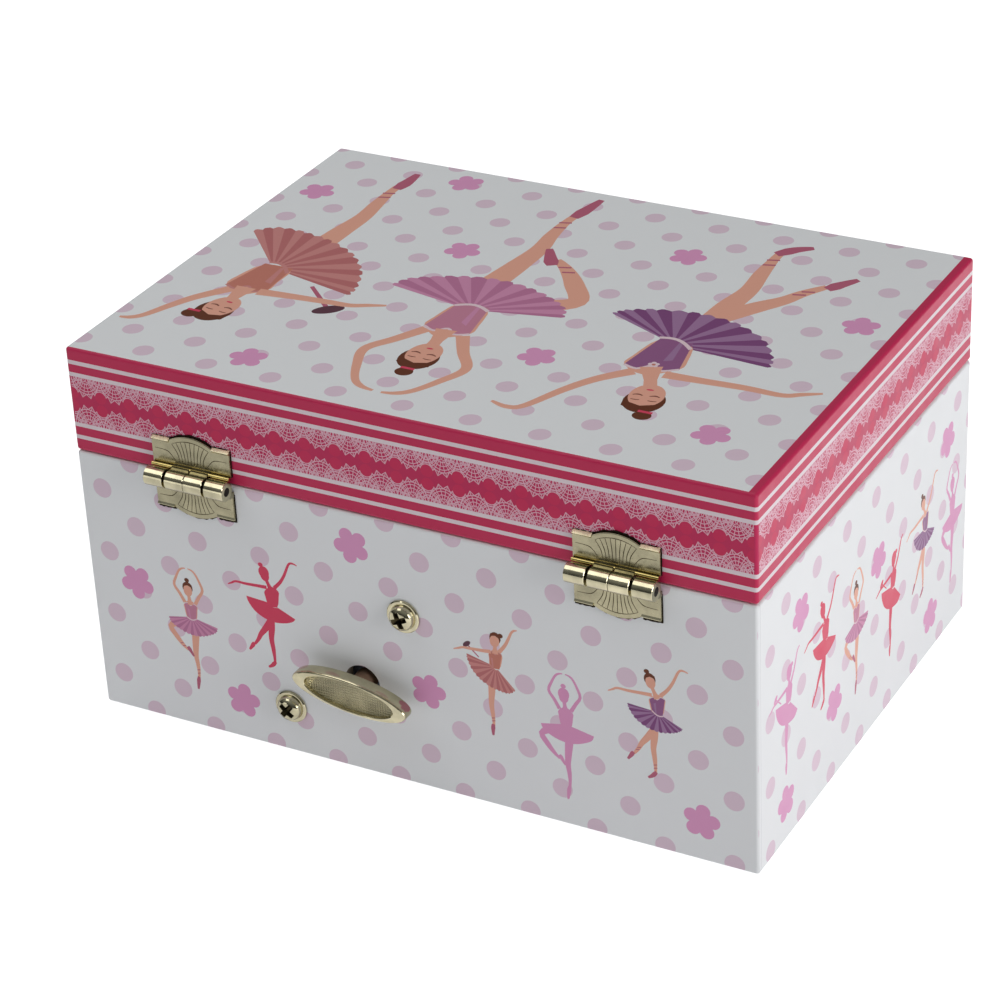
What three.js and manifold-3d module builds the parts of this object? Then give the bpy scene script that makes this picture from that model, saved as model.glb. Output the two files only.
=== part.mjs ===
// A musical jewellery box: a paper-wrapped board case with a hinged lid, a wound
// music movement screwed to its back wall, and a ballerina on a flexible spring that
// folds flat as the lid closes. Millimetres. +Z is up, the front faces -Y, and the
// origin is the centre of the underside.
import * as THREE from "three";
import { mergeVertices } from "three/addons/utils/BufferGeometryUtils.js";
import Module from "manifold-3d";

const wasm = await Module();
wasm.setup();

// ---------------------------------------------------------------- driving sizes
const WIDTH = 150;
const DEPTH = 108;
const HEIGHT = 83.4;
const RIM = 60.1; // top of the base's rim
const LID_FOOT = 60.3; // bottom of the lid's rim
const PAPER = 0.3;
const BOARD = 2.7;
const WALL = BOARD + PAPER;
const LINER = 1;
const LID_LINER = 2;
const HALF_W = WIDTH / 2;
const HALF_D = DEPTH / 2;
const INNER_W = HALF_W - WALL;
const INNER_D = HALF_D - WALL;

const FLOOR_TOP = PAPER + BOARD + 0.3;
const LINER_TOP = 58.5;
const LINER_FLOOR = FLOOR_TOP + LINER;
const DECK = { low: 44, high: 46 };
const PARTITION = { front: 20.4, back: 21.9 };
const DIVIDER = { high: 36, thick: 1.5, x: -24, y: -16 };

// Winding axis, on the back wall.
const WIND = { x: 11.1, z: 21.2 };
const KEY_HOLE_R = 4;
const SCREWS = [
  { name: "movement_screw_upper", x: 0.5, z: 39.4 },
  { name: "movement_screw_lower", x: 28.5, z: 11.1 },
];

// Hinges.
const HINGE = { x: 46.7, width: 18.4, pinY: HALF_D + 2.8, pinZ: 60.2 };
const LEAF = {
  thick: 0.6,
  reach: 7.6,
  knuckle: 2,
  bore: 1.05,
  pin: 0.95,
  gap: 0.6,
  shellR: 9.5,
  shellRise: 1.4,
};
const PRONG = { width: 4.4, depth: 2.2, clearance: 0.12 };

// Gear train. A crown wheel drives the pin cylinder and the dancer's spindle.
const CROWN = { teeth: 24, radius: 9, pitchY: 36.2, inner: 7.9, outer: 10.1 };
const PINION = { teeth: 12, radius: 4.5 };
const DRUM_GEAR = { teeth: 30, radius: 7.5 };
const BRAKE_PINION = { teeth: 8, radius: 2 };
const WORM_WHEEL = { teeth: 20, radius: 5 };
const WORM = { pitchR: 1.6, root: 0.95, tip: 2.05 };
const AXIS_Y = CROWN.pitchY - PINION.radius; // the cylinder's and spindle's distance
const BRAKE_Z = WIND.z - DRUM_GEAR.radius - BRAKE_PINION.radius;
const WORM_Y = AXIS_Y - WORM_WHEEL.radius - WORM.pitchR;
const WORM_LEAD = (2 * Math.PI * WORM_WHEEL.radius) / WORM_WHEEL.teeth;
const BEDPLATE = { back: INNER_D, front: INNER_D - 2 };
const DRUM = { x0: -18.6, x1: -3.6, radius: 5.6, pin: 0.5, notes: 18 };

// The dancer folds about this point, on the spindle's axis.
const PIVOT = new THREE.Vector3(WIND.x, AXIS_Y, 51);

// ---------------------------------------------------------------- materials
function material(color, roughness, metalness = 0) {
  return new THREE.MeshStandardMaterial({ color, roughness, metalness });
}
const printedPaper = material("#f2eef2", 0.35);
const pinkBand = material("#c8375f", 0.35);
const greyboard = material("#8d8273", 0.9);
const velour = material("#e48fb3", 0.95);
const brass = material("#c9b27a", 0.3, 1);
const steel = material("#b9bbbd", 0.35, 1);
const darkSteel = material("#5d6064", 0.4, 1);
const whitePlastic = material("#ece8df", 0.5);
const skin = material("#f0c4a4", 0.5);
const tulle = material("#f4b6cf", 0.9);
const glass = material("#dfe6ea", 0.05, 1);

// ---------------------------------------------------------------- solids
function solidOf(geometry) {
  const plain = geometry.clone();
  plain.deleteAttribute("normal");
  plain.deleteAttribute("uv");
  const merged = mergeVertices(plain, 1e-4);
  return new wasm.Manifold(
    new wasm.Mesh({
      numProp: 3,
      vertProperties: new Float32Array(merged.attributes.position.array),
      triVerts: new Uint32Array(merged.index.array),
    }),
  );
}

function geometryOf(solid) {
  const mesh = solid.getMesh();
  const count = mesh.vertProperties.length / mesh.numProp;
  const position = new Float32Array(count * 3);
  for (let i = 0; i < count; i++) {
    position.set(mesh.vertProperties.subarray(i * mesh.numProp, i * mesh.numProp + 3), i * 3);
  }
  const geometry = new THREE.BufferGeometry();
  geometry.setAttribute("position", new THREE.BufferAttribute(position, 3));
  geometry.setIndex(new THREE.BufferAttribute(new Uint32Array(mesh.triVerts), 1));
  return geometry;
}

function join(first, ...others) {
  return geometryOf(others.reduce((sum, g) => sum.add(solidOf(g)), solidOf(first)));
}

function cut(first, ...tools) {
  return geometryOf(tools.reduce((left, g) => left.subtract(solidOf(g)), solidOf(first)));
}

// A box between two corners.
function block([x0, x1], [y0, y1], [z0, z1]) {
  return new THREE.BoxGeometry(x1 - x0, y1 - y0, z1 - z0).translate(
    (x0 + x1) / 2,
    (y0 + y1) / 2,
    (z0 + z1) / 2,
  );
}

// Turns a shape made along +Y so that it runs along the named axis.
const TURN = {
  x: (g) => g.rotateZ(-Math.PI / 2),
  y: (g) => g,
  z: (g) => g.rotateX(Math.PI / 2),
};

// A round bar along an axis, from one coordinate to another, through a centre line.
function bar(axis, from, to, centre, radius, sides = 18) {
  const g = new THREE.CylinderGeometry(radius, radius, to - from, sides);
  TURN[axis](g);
  const at = { x: 0, y: 0, z: 0, ...centre, [axis]: (from + to) / 2 };
  return g.translate(at.x, at.y, at.z);
}

// A solid of revolution from (radius, height) points, standing along +Y from zero.
function turned(points, sides = 20) {
  return new THREE.LatheGeometry(
    points.map(([r, h]) => new THREE.Vector2(r, h)),
    sides,
  );
}

function extruded(shape, depth) {
  return new THREE.ExtrudeGeometry(shape, { depth, bevelEnabled: false });
}

function outline(points) {
  return new THREE.Shape(points.map(([x, y]) => new THREE.Vector2(x, y)));
}

const part = new THREE.Group();
function add(name, geometry, look, group = part) {
  const mesh = new THREE.Mesh(geometry, look);
  mesh.name = name;
  group.add(mesh);
  return mesh;
}

// ---------------------------------------------------------------- openings in walls
// The two slots that a hinge leaf's prongs are pushed into, at height z.
function prongSlots(z) {
  const slots = [];
  for (const side of [-1, 1]) {
    for (const end of [-1, 1]) {
      const middle = side * HINGE.x + (end * (HINGE.width - PRONG.width)) / 2;
      const half = PRONG.width / 2 + PRONG.clearance;
      slots.push(
        block(
          [middle - half, middle + half],
          [HALF_D - PRONG.depth - 0.3, HALF_D + 1],
          [z - LEAF.thick / 2 - PRONG.clearance, z + LEAF.thick / 2 + PRONG.clearance],
        ),
      );
    }
  }
  return slots;
}
const LOWER_PRONG_Z = HINGE.pinZ - LEAF.reach + LEAF.thick / 2;
const UPPER_PRONG_Z = HINGE.pinZ + LEAF.reach - LEAF.thick / 2;

// The winding shaft's hole and the movement's two screw holes.
function movementHoles() {
  const through = [INNER_D - 1, HALF_D + 1];
  return [
    bar("y", ...through, WIND, KEY_HOLE_R, 32),
    ...SCREWS.map((s) => bar("y", ...through, s, 1.65, 16)),
  ];
}

// ---------------------------------------------------------------- base case
const boardX = [-HALF_W + PAPER, HALF_W - PAPER];
const backBoardY = [INNER_D, HALF_D - PAPER];
const frontBoardY = [-HALF_D + PAPER, -INNER_D];
const baseZ = [PAPER, RIM - PAPER];

add(
  "base_back_panel",
  cut(block(boardX, backBoardY, baseZ), ...movementHoles(), ...prongSlots(LOWER_PRONG_Z)),
  greyboard,
);
add("base_front_panel", block(boardX, frontBoardY, baseZ), greyboard);
for (const [name, side] of [["left", -1], ["right", 1]]) {
  const x = [side * INNER_W, side * (HALF_W - PAPER)].sort((a, b) => a - b);
  add(`base_${name}_panel`, block(x, [-INNER_D, INNER_D], baseZ), greyboard);
}
add(
  "base_bottom_panel",
  block([-INNER_W, INNER_W], [-INNER_D, INNER_D], [PAPER, FLOOR_TOP]),
  greyboard,
);
add(
  "base_bottom_cover",
  block([-HALF_W, HALF_W], [-HALF_D, HALF_D], [0, PAPER]),
  printedPaper,
);

// The printed paper: a sleeve on the four walls, turned in over the rim.
const INK_SIDE_X = [-HALF_W + PAPER, HALF_W - PAPER];
const INK_SIDE_Y = [-HALF_D + PAPER, HALF_D - PAPER];
add(
  "base_paper_wrap",
  cut(
    block([-HALF_W, HALF_W], [-HALF_D, HALF_D], [PAPER, RIM]),
    block(INK_SIDE_X, INK_SIDE_Y, [0, RIM - PAPER]),
    block([-INNER_W, INNER_W], [-INNER_D, INNER_D], [0, RIM + 1]),
    ...movementHoles(),
    ...prongSlots(LOWER_PRONG_Z),
  ),
  printedPaper,
);

// ---------------------------------------------------------------- base lining
const ROOM_X = INNER_W - LINER;
const ROOM_FRONT = -INNER_D + LINER;
add(
  "liner_floor",
  block([-INNER_W, INNER_W], [-INNER_D, PARTITION.back], [FLOOR_TOP, LINER_FLOOR]),
  velour,
);
add(
  "liner_front",
  block([-ROOM_X, ROOM_X], [-INNER_D, ROOM_FRONT], [LINER_FLOOR, LINER_TOP]),
  velour,
);
for (const [name, side] of [["left", -1], ["right", 1]]) {
  const x = [side * ROOM_X, side * INNER_W].sort((a, b) => a - b);
  add(`liner_${name}`, block(x, [-INNER_D, PARTITION.back], [LINER_FLOOR, LINER_TOP]), velour);
}
add(
  "liner_back",
  block([-INNER_W, INNER_W], [INNER_D - LINER, INNER_D], [DECK.high, LINER_TOP]),
  velour,
);
add(
  "movement_partition",
  block([-ROOM_X, ROOM_X], [PARTITION.front, PARTITION.back], [LINER_FLOOR, DECK.high]),
  velour,
);

// The stop wire's post stands close to the back wall, under the lid's edge.
const STOP = { x: -30, y: 49, top: 60.05, arm: 19, radius: 0.7 };
add(
  "deck",
  cut(
    block([-INNER_W, INNER_W], [PARTITION.back, INNER_D], [DECK.low, DECK.high]),
    bar("z", DECK.low - 1, DECK.high + 1, PIVOT, 3.2),
    bar("z", DECK.low - 1, DECK.high + 1, STOP, 1.1, 12),
  ),
  velour,
);
add(
  "divider_long",
  block(
    [DIVIDER.x, DIVIDER.x + DIVIDER.thick],
    [ROOM_FRONT, PARTITION.front],
    [LINER_FLOOR, DIVIDER.high],
  ),
  velour,
);
add(
  "divider_cross",
  block(
    [DIVIDER.x + DIVIDER.thick, ROOM_X],
    [DIVIDER.y, DIVIDER.y + DIVIDER.thick],
    [LINER_FLOOR, DIVIDER.high],
  ),
  velour,
);

// Four foam ring pads, round-topped, that stand side by side in the left compartment.
const RING_PADS = 4;
const PAD_GAP = 0.6;
const PAD_HIGH = 22;
const padPitch = (PARTITION.front - ROOM_FRONT) / RING_PADS;
const padHalf = (padPitch - PAD_GAP) / 2;
for (let i = 0; i < RING_PADS; i++) {
  const section = new THREE.Shape();
  section.moveTo(-padHalf, 0);
  section.lineTo(padHalf, 0);
  section.lineTo(padHalf, PAD_HIGH - padHalf);
  section.absarc(0, PAD_HIGH - padHalf, padHalf, 0, Math.PI, false);
  const length = DIVIDER.x + ROOM_X - 2 * PAD_GAP;
  const pad = new THREE.ExtrudeGeometry(section, {
    depth: length,
    bevelEnabled: false,
    curveSegments: 10,
  });
  pad.rotateX(Math.PI / 2).rotateZ(Math.PI / 2);
  pad.translate(-ROOM_X + PAD_GAP, ROOM_FRONT + (i + 0.5) * padPitch, LINER_FLOOR);
  add(`ring_pad_${i + 1}`, pad, velour);
}

// ---------------------------------------------------------------- lid
const lidZ = [LID_FOOT + PAPER, HEIGHT - PAPER - BOARD];
const lid = new THREE.Group();
part.add(lid);
add("lid_back_panel", cut(block(boardX, backBoardY, lidZ), ...prongSlots(UPPER_PRONG_Z)), greyboard, lid);
add("lid_front_panel", block(boardX, frontBoardY, lidZ), greyboard, lid);
for (const [name, side] of [["left", -1], ["right", 1]]) {
  const x = [side * INNER_W, side * (HALF_W - PAPER)].sort((a, b) => a - b);
  add(`lid_${name}_panel`, block(x, [-INNER_D, INNER_D], lidZ), greyboard, lid);
}
add(
  "lid_top_panel",
  block(boardX, INK_SIDE_Y, [HEIGHT - PAPER - BOARD, HEIGHT - PAPER]),
  greyboard,
  lid,
);
add(
  "lid_paper_wrap",
  cut(
    block([-HALF_W, HALF_W], [-HALF_D, HALF_D], [LID_FOOT, HEIGHT]),
    block(INK_SIDE_X, INK_SIDE_Y, [LID_FOOT + PAPER, HEIGHT - PAPER]),
    block([-INNER_W, INNER_W], [-INNER_D, INNER_D], [LID_FOOT - 1, LID_FOOT + 1]),
    ...prongSlots(UPPER_PRONG_Z),
  ),
  pinkBand,
  lid,
);
const LID_CEILING = HEIGHT - WALL;
const LID_LINER_Z = LID_CEILING - LINER;
add(
  "lid_top_liner",
  block([-INNER_W, INNER_W], [-INNER_D, INNER_D], [LID_LINER_Z, LID_CEILING]),
  velour,
  lid,
);
add(
  "lid_side_liner",
  cut(
    block([-INNER_W, INNER_W], [-INNER_D, INNER_D], [LID_FOOT + 0.3, LID_LINER_Z]),
    block(
      [-INNER_W + LID_LINER, INNER_W - LID_LINER],
      [-INNER_D + LID_LINER, INNER_D - LID_LINER],
      [LID_FOOT, LID_LINER_Z + 1],
    ),
  ),
  velour,
  lid,
);
const MIRROR = { halfW: 46, halfD: 32, thick: 1, frame: 3, y: -4 };
add(
  "mirror",
  block(
    [-MIRROR.halfW, MIRROR.halfW],
    [MIRROR.y - MIRROR.halfD, MIRROR.y + MIRROR.halfD],
    [LID_LINER_Z - MIRROR.thick, LID_LINER_Z],
  ),
  glass,
  lid,
);
const frameFace = [LID_LINER_Z - MIRROR.thick - 0.7, LID_LINER_Z - MIRROR.thick];
add(
  "mirror_frame",
  cut(
    block(
      [-MIRROR.halfW, MIRROR.halfW],
      [MIRROR.y - MIRROR.halfD, MIRROR.y + MIRROR.halfD],
      frameFace,
    ),
    block(
      [-MIRROR.halfW + MIRROR.frame, MIRROR.halfW - MIRROR.frame],
      [MIRROR.y - MIRROR.halfD + MIRROR.frame, MIRROR.y + MIRROR.halfD - MIRROR.frame],
      [frameFace[0] - 1, frameFace[1] + 1],
    ),
  ),
  whitePlastic,
  lid,
);

// ---------------------------------------------------------------- hinges
// A leaf lies on the wall above (up = 1) or below (up = -1) the pin. Its outer edge
// has a rounded shell between two shoulders, and each shoulder carries a prong.
function hingeLeaf(up, centreX, knuckles) {
  const half = HINGE.width / 2;
  const shoulder = LEAF.reach;
  const shellR = LEAF.shellR;
  const shellY = shoulder + LEAF.shellRise - shellR;
  const shellHalf = Math.acos((shoulder - shellY) / shellR);
  const face = new THREE.Shape();
  face.moveTo(-half, 1.9);
  face.lineTo(half, 1.9);
  face.lineTo(half, shoulder);
  face.absarc(0, shellY, shellR, Math.PI / 2 - shellHalf, Math.PI / 2 + shellHalf, false);
  face.lineTo(-half, shoulder);
  const plate = new THREE.ExtrudeGeometry(face, {
    depth: LEAF.thick,
    bevelEnabled: false,
    curveSegments: 10,
  });
  // Drawn in X and Y; stood up so that Y becomes height and the depth faces the wall.
  plate.rotateX(Math.PI / 2).translate(0, LEAF.thick, 0);
  const pinY = HINGE.pinY - HALF_D;
  const pieces = [plate];
  for (const end of [-1, 1]) {
    const middle = (end * (HINGE.width - PRONG.width)) / 2;
    pieces.push(
      block(
        [middle - PRONG.width / 2, middle + PRONG.width / 2],
        [-PRONG.depth, LEAF.thick / 2],
        [shoulder - LEAF.thick, shoulder],
      ),
    );
  }
  for (const [from, to] of knuckles) {
    pieces.push(bar("x", from, to, { y: pinY, z: 0 }, LEAF.knuckle));
    pieces.push(block([from, to], [0, 1.6], [1.2, 2.6]));
  }
  // The lip that meets the other leaf and stops the lid.
  pieces.push(block([-half, half], [0, 1.3], [2.1, 2.7]));
  const bore = bar("x", -half - 1, half + 1, { y: pinY, z: 0 }, LEAF.bore);
  const leaf = cut(join(...pieces), bore);
  if (up < 0) {
    leaf.rotateY(Math.PI);
  }
  return leaf.translate(centreX, HALF_D, HINGE.pinZ);
}
const quarter = HINGE.width / 4;
const innerKnuckle = [[-quarter + LEAF.gap / 2, quarter - LEAF.gap / 2]];
const outerKnuckles = [
  [-2 * quarter, -quarter - LEAF.gap / 2],
  [quarter + LEAF.gap / 2, 2 * quarter],
];
// Each leaf's lip is cut back where the other leaf's knuckles turn.
function clearOf(leaf, knuckles, centreX) {
  const tools = knuckles.map(([from, to]) =>
    bar(
      "x",
      centreX + from - LEAF.gap / 2,
      centreX + to + LEAF.gap / 2,
      { y: HINGE.pinY, z: HINGE.pinZ },
      LEAF.knuckle + 0.35,
    ),
  );
  return cut(leaf, ...tools);
}
for (const [name, side] of [["left", -1], ["right", 1]]) {
  const x = side * HINGE.x;
  add(`hinge_${name}_base_leaf`, clearOf(hingeLeaf(-1, x, outerKnuckles), innerKnuckle, x), brass);
  add(`hinge_${name}_lid_leaf`, clearOf(hingeLeaf(1, x, innerKnuckle), outerKnuckles, x), brass, lid);
  add(
    `hinge_${name}_pin`,
    bar("x", x - HINGE.width / 2, x + HINGE.width / 2, { y: HINGE.pinY, z: HINGE.pinZ }, LEAF.pin, 16),
    steel,
  );
}

// ---------------------------------------------------------------- movement frame
const windAxis = { x: WIND.x, z: WIND.z };
const bedShape = outline([
  [-27, 5.5],
  [31, 5.5],
  [33, 7.5],
  [33, 17],
  [26, 34],
  [14, 42.5],
  [-27, 42.5],
]);
const bed = extruded(bedShape, BEDPLATE.back - BEDPLATE.front);
bed.rotateX(Math.PI / 2).translate(0, BEDPLATE.back, 0);
add(
  "bedplate",
  cut(
    bed,
    bar("y", BEDPLATE.front - 1, BEDPLATE.back + 1, windAxis, 2.1),
    ...SCREWS.map((s) => bar("y", BEDPLATE.front - 1, BEDPLATE.back + 1, s, 1.5, 16)),
  ),
  darkSteel,
);

// Spring barrel: a cup whose open end stands on the bedplate.
const BARREL = { radius: 12.5, wall: 1, floor: 39.5 };
add(
  "spring_barrel",
  turned([
    [2.3, 0],
    [BARREL.radius, 0],
    [BARREL.radius, BEDPLATE.front - BARREL.floor],
    [BARREL.radius - BARREL.wall, BEDPLATE.front - BARREL.floor],
    [BARREL.radius - BARREL.wall, BARREL.wall],
    [2.3, BARREL.wall],
    [2.3, 0],
  ], 36).translate(WIND.x, BARREL.floor, WIND.z),
  steel,
);

// Mainspring: a flat steel strip wound in a spiral.
function spiralStrip(inner, outer, turns, thick, high) {
  const sides = 12;
  const steps = Math.round(turns * sides);
  const edge = (offset) =>
    Array.from({ length: steps + 1 }, (_, i) => {
      const angle = (i / sides) * 2 * Math.PI;
      const r = inner + ((outer - inner) * i) / steps + offset;
      return [r * Math.cos(angle), r * Math.sin(angle)];
    });
  return extruded(outline([...edge(thick / 2), ...edge(-thick / 2).reverse()]), high);
}
add(
  "mainspring",
  spiralStrip(2.6, 10.8, 4, 0.45, 6.5).rotateX(Math.PI / 2).translate(WIND.x, 48, WIND.z),
  darkSteel,
);

// Bearing brackets: a foot on the bedplate and a plate that stands off it.
const axisHole = (radius) => bar("x", -30, 5, { y: AXIS_Y, z: WIND.z }, radius, 16);
add(
  "cylinder_bracket",
  cut(
    join(
      block([-3, -1.8], [29, BEDPLATE.front], [18, 24.5]),
      block([-8, -1.8], [BEDPLATE.front - 1.2, BEDPLATE.front], [18, 24.5]),
    ),
    axisHole(1.1),
  ),
  steel,
);
const BRACKET_Z = [34.2, 35.4];
add(
  "spindle_bracket",
  cut(
    join(
      block([PIVOT.x - 4, PIVOT.x + 4], [28, BEDPLATE.front], BRACKET_Z),
      block(
        [PIVOT.x - 4, PIVOT.x + 4],
        [BEDPLATE.front - 1.2, BEDPLATE.front],
        [BRACKET_Z[0], 40],
      ),
    ),
    bar("z", 30, 40, PIVOT, 1.7, 20),
  ),
  steel,
);
const WORM_X = -22.7;
const wormLine = { x: WORM_X, y: WORM_Y };
add(
  "governor_frame",
  cut(
    join(
      block([-26.4, -25.4], [28, BEDPLATE.front], [4.8, 27.4]),
      block([-26.4, -17.4], [BEDPLATE.front - 1.2, BEDPLATE.front], [4.8, 13.6]),
      block([-18.4, -17.4], [29.8, BEDPLATE.front], [4.8, 13.6]),
      block([-26.4, -21.5], [23.5, 29.5], [4.8, 6]),
      block([-26.4, -21.5], [23.5, 29.5], [26.2, 27.4]),
    ),
    bar("x", -30, -15, { y: AXIS_Y, z: BRAKE_Z }, 0.9, 16),
    bar("x", -30, -24, { y: AXIS_Y, z: WIND.z }, 1.1, 16),
    bar("z", 3, 30, wormLine, 0.6, 12),
  ),
  darkSteel,
);

// Comb: a steel plate with one tooth for each note, screwed to its block.
const COMB = { tip: WIND.z + DRUM.radius + DRUM.pin + 0.15, root: 33.6, back: 41 };
const COMB_X = [DRUM.x0 + 0.1, DRUM.x1 - 0.1];
const COMB_SCREW_X = [-15, -7];
const COMB_SCREW_Z = 38;
function combShape() {
  const pitch = (COMB_X[1] - COMB_X[0]) / DRUM.notes;
  const slot = 0.22;
  const points = [
    [COMB_X[1], COMB.back],
    [COMB_X[0], COMB.back],
  ];
  for (let i = 0; i < DRUM.notes; i++) {
    const x = COMB_X[0] + i * pitch;
    const depth = COMB.root + 1.6 - (i / DRUM.notes) * 1.6;
    points.push([x, i === 0 ? COMB.tip : depth]);
    points.push([x, COMB.tip]);
    points.push([x + pitch - slot, COMB.tip]);
    points.push([x + pitch - slot, depth]);
  }
  points.push([COMB_X[1], COMB.root]);
  return outline(points.filter((p, i) => i !== 2));
}
const combHoles = (radius, from, to) =>
  COMB_SCREW_X.map((x) => bar("y", from, to, { x, z: COMB_SCREW_Z }, radius, 12));
add(
  "comb",
  cut(
    extruded(combShape(), 1).rotateX(Math.PI / 2).translate(0, AXIS_Y + 0.5, 0),
    ...combHoles(1, AXIS_Y - 2, AXIS_Y + 2),
  ),
  steel,
);
add(
  "comb_block",
  cut(
    block(COMB_X, [AXIS_Y + 0.5, BEDPLATE.front], [34.6, 41.4]),
    ...combHoles(1, AXIS_Y, AXIS_Y + 7),
  ),
  darkSteel,
);
COMB_SCREW_X.forEach((x, i) => {
  const at = { x, z: COMB_SCREW_Z };
  add(
    `comb_screw_${i + 1}`,
    cut(
      join(
        bar("y", AXIS_Y - 1.7, AXIS_Y - 0.5, at, 1.6, 16),
        bar("y", AXIS_Y - 1, AXIS_Y + 5.5, at, 0.8, 12),
      ),
      block([x - 2, x + 2], [AXIS_Y - 2, AXIS_Y - 1.1], [COMB_SCREW_Z - 0.2, COMB_SCREW_Z + 0.2]),
    ),
    steel,
  );
});

// The two pan-head screws that hold the movement through the back wall.
for (const s of SCREWS) {
  const head = turned([
    [0, -6.5],
    [1.3, -6.5],
    [1.3, 0],
    [3.6, 0],
    [3.6, 0.5],
    [3, 0.8],
    [2.5, 1.7],
    [1.4, 2.2],
    [0, 2.3],
  ]).translate(s.x, HALF_D, s.z);
  const recess = [
    block([s.x - 1.6, s.x + 1.6], [HALF_D + 0.9, HALF_D + 3], [s.z - 0.4, s.z + 0.4]),
    block([s.x - 0.4, s.x + 0.4], [HALF_D + 0.9, HALF_D + 3], [s.z - 1.6, s.z + 1.6]),
  ];
  add(s.name, cut(head, ...recess), brass);
}

// ---------------------------------------------------------------- winding key and shaft
add(
  "winding_shaft",
  turned([
    [0, 36.3],
    [1.9, 36.3],
    [1.9, 51.2],
    [1.3, 51.4],
    [1.3, 56.2],
    [0, 56.2],
  ]).translate(WIND.x, 0, WIND.z),
  steel,
);
const KEY = { halfLong: 13, halfWide: 4, back: 57, front: 60, tilt: THREE.MathUtils.degToRad(6.7) };
function ellipse(a, b, segments = 36) {
  return new THREE.Shape(new THREE.EllipseCurve(0, 0, a, b).getPoints(segments).slice(0, -1));
}
const onWall = (shape, depth, y) => extruded(shape, depth).rotateX(Math.PI / 2).translate(0, y, 0);
const key = cut(
  join(
    onWall(ellipse(KEY.halfLong, KEY.halfWide), KEY.front - KEY.back, KEY.front),
    bar("y", 51.8, KEY.back + 0.5, {}, 2.3),
  ),
  onWall(ellipse(KEY.halfLong - 2.9, KEY.halfWide - 1.2), 2, KEY.front + 1.1),
  bar("y", 50, 56.6, {}, 1.65),
);
key.rotateY(-KEY.tilt).translate(WIND.x, 0, WIND.z);
add("winding_key", key, brass);

// ---------------------------------------------------------------- gears
// A tooth outline is a trapezium: these are its half widths as shares of the pitch.
const TOOTH = { root: 0.25, pitch: 0.2, tip: 0.1 };
function gearShape(teeth, root, tip, phase, share = TOOTH) {
  const step = (2 * Math.PI) / teeth;
  const points = [];
  for (let i = 0; i < teeth; i++) {
    const middle = phase + i * step;
    for (const [r, half] of [
      [root, -share.root],
      [tip, -share.tip],
      [tip, share.tip],
      [root, share.root],
    ]) {
      points.push([r * Math.cos(middle + half * step), r * Math.sin(middle + half * step)]);
    }
  }
  return outline(points);
}
const CROWN_ADDENDUM = 0.7;
const CROWN_ROOT_Y = CROWN.pitchY + 0.95;
function crownWheel() {
  const pitch = (2 * Math.PI * CROWN.radius) / CROWN.teeth;
  const web = cut(
    bar("y", CROWN_ROOT_Y, CROWN_ROOT_Y + 1.7, {}, CROWN.outer + 0.5, 48),
    bar("y", CROWN_ROOT_Y - 1, CROWN_ROOT_Y + 3, {}, 2.05),
  );
  const pieces = [web];
  for (let i = 0; i < CROWN.teeth; i++) {
    const rise = CROWN_ROOT_Y - CROWN.pitchY + CROWN_ADDENDUM;
    const tooth = outline([
      [-TOOTH.root * pitch, 0.2],
      [-TOOTH.root * pitch, 0],
      [-TOOTH.tip * pitch, -rise],
      [TOOTH.tip * pitch, -rise],
      [TOOTH.root * pitch, 0],
      [TOOTH.root * pitch, 0.2],
    ]);
    const g = extruded(tooth, CROWN.outer - CROWN.inner).translate(0, CROWN_ROOT_Y, CROWN.inner);
    pieces.push(g.rotateY((i * 2 * Math.PI) / CROWN.teeth));
  }
  return join(...pieces).translate(WIND.x, 0, WIND.z);
}
add("crown_wheel", crownWheel(), brass);

// The pinions mesh with a gap towards the crown wheel, which is towards +Y.
const PINION_ROOT = PINION.radius - 0.85;
const PINION_TIP = PINION.radius + 0.7;
const PINION_FACE = 2;
const pinionGap = Math.PI / PINION.teeth;
const pinionShape = gearShape(PINION.teeth, PINION_ROOT, PINION_TIP, Math.PI / 2 + pinionGap);

// Cylinder arbor: the crown pinion at one end, the brake gear at the other.
function alongX(shape, x0, x1) {
  // Drawn in X and Y, it turns to lie in Z and Y, so that it runs along X.
  return extruded(shape, x1 - x0).rotateY(Math.PI / 2).translate(x0, AXIS_Y, WIND.z);
}
const DRUM_GEAR_X = [-20.2, -19];
const gearTowardsBrake = gearShape(
  DRUM_GEAR.teeth,
  DRUM_GEAR.radius - 0.62,
  DRUM_GEAR.radius + 0.45,
  0,
);
const pinionX = WIND.x - CROWN.radius;
add(
  "cylinder_arbor",
  join(
    alongX(pinionShape, pinionX - PINION_FACE / 2, pinionX + PINION_FACE / 2),
    alongX(gearTowardsBrake, ...DRUM_GEAR_X),
    bar("x", -26.2, pinionX + 1, { y: AXIS_Y, z: WIND.z }, 0.9, 16),
    bar("x", -1.5, pinionX, { y: AXIS_Y, z: WIND.z }, 2.2, 16),
  ),
  whitePlastic,
);

// Pin cylinder. Each note's pins stand at their own angles.
function pinCylinder() {
  const body = cut(
    bar("x", DRUM.x0, DRUM.x1, {}, DRUM.radius, 36),
    bar("x", DRUM.x0 - 1, DRUM.x1 + 1, {}, 1.05, 16),
  );
  const pieces = [body];
  const pitch = (DRUM.x1 - DRUM.x0) / DRUM.notes;
  for (let note = 0; note < DRUM.notes; note++) {
    for (let beat = 0; beat < 2; beat++) {
      const angle = ((note * 7 + beat * 11 + (note % 3) * beat * 4) % 32) * (Math.PI / 16) + 0.1;
      const x = DRUM.x0 + (note + 0.4) * pitch;
      const pin = block(
        [x - 0.15, x + 0.15],
        [-0.15, 0.15],
        [DRUM.radius - 0.3, DRUM.radius + DRUM.pin],
      );
      pieces.push(pin.rotateX(angle));
    }
  }
  return join(...pieces).translate(0, AXIS_Y, WIND.z);
}
add("pin_cylinder", pinCylinder(), brass);

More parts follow.
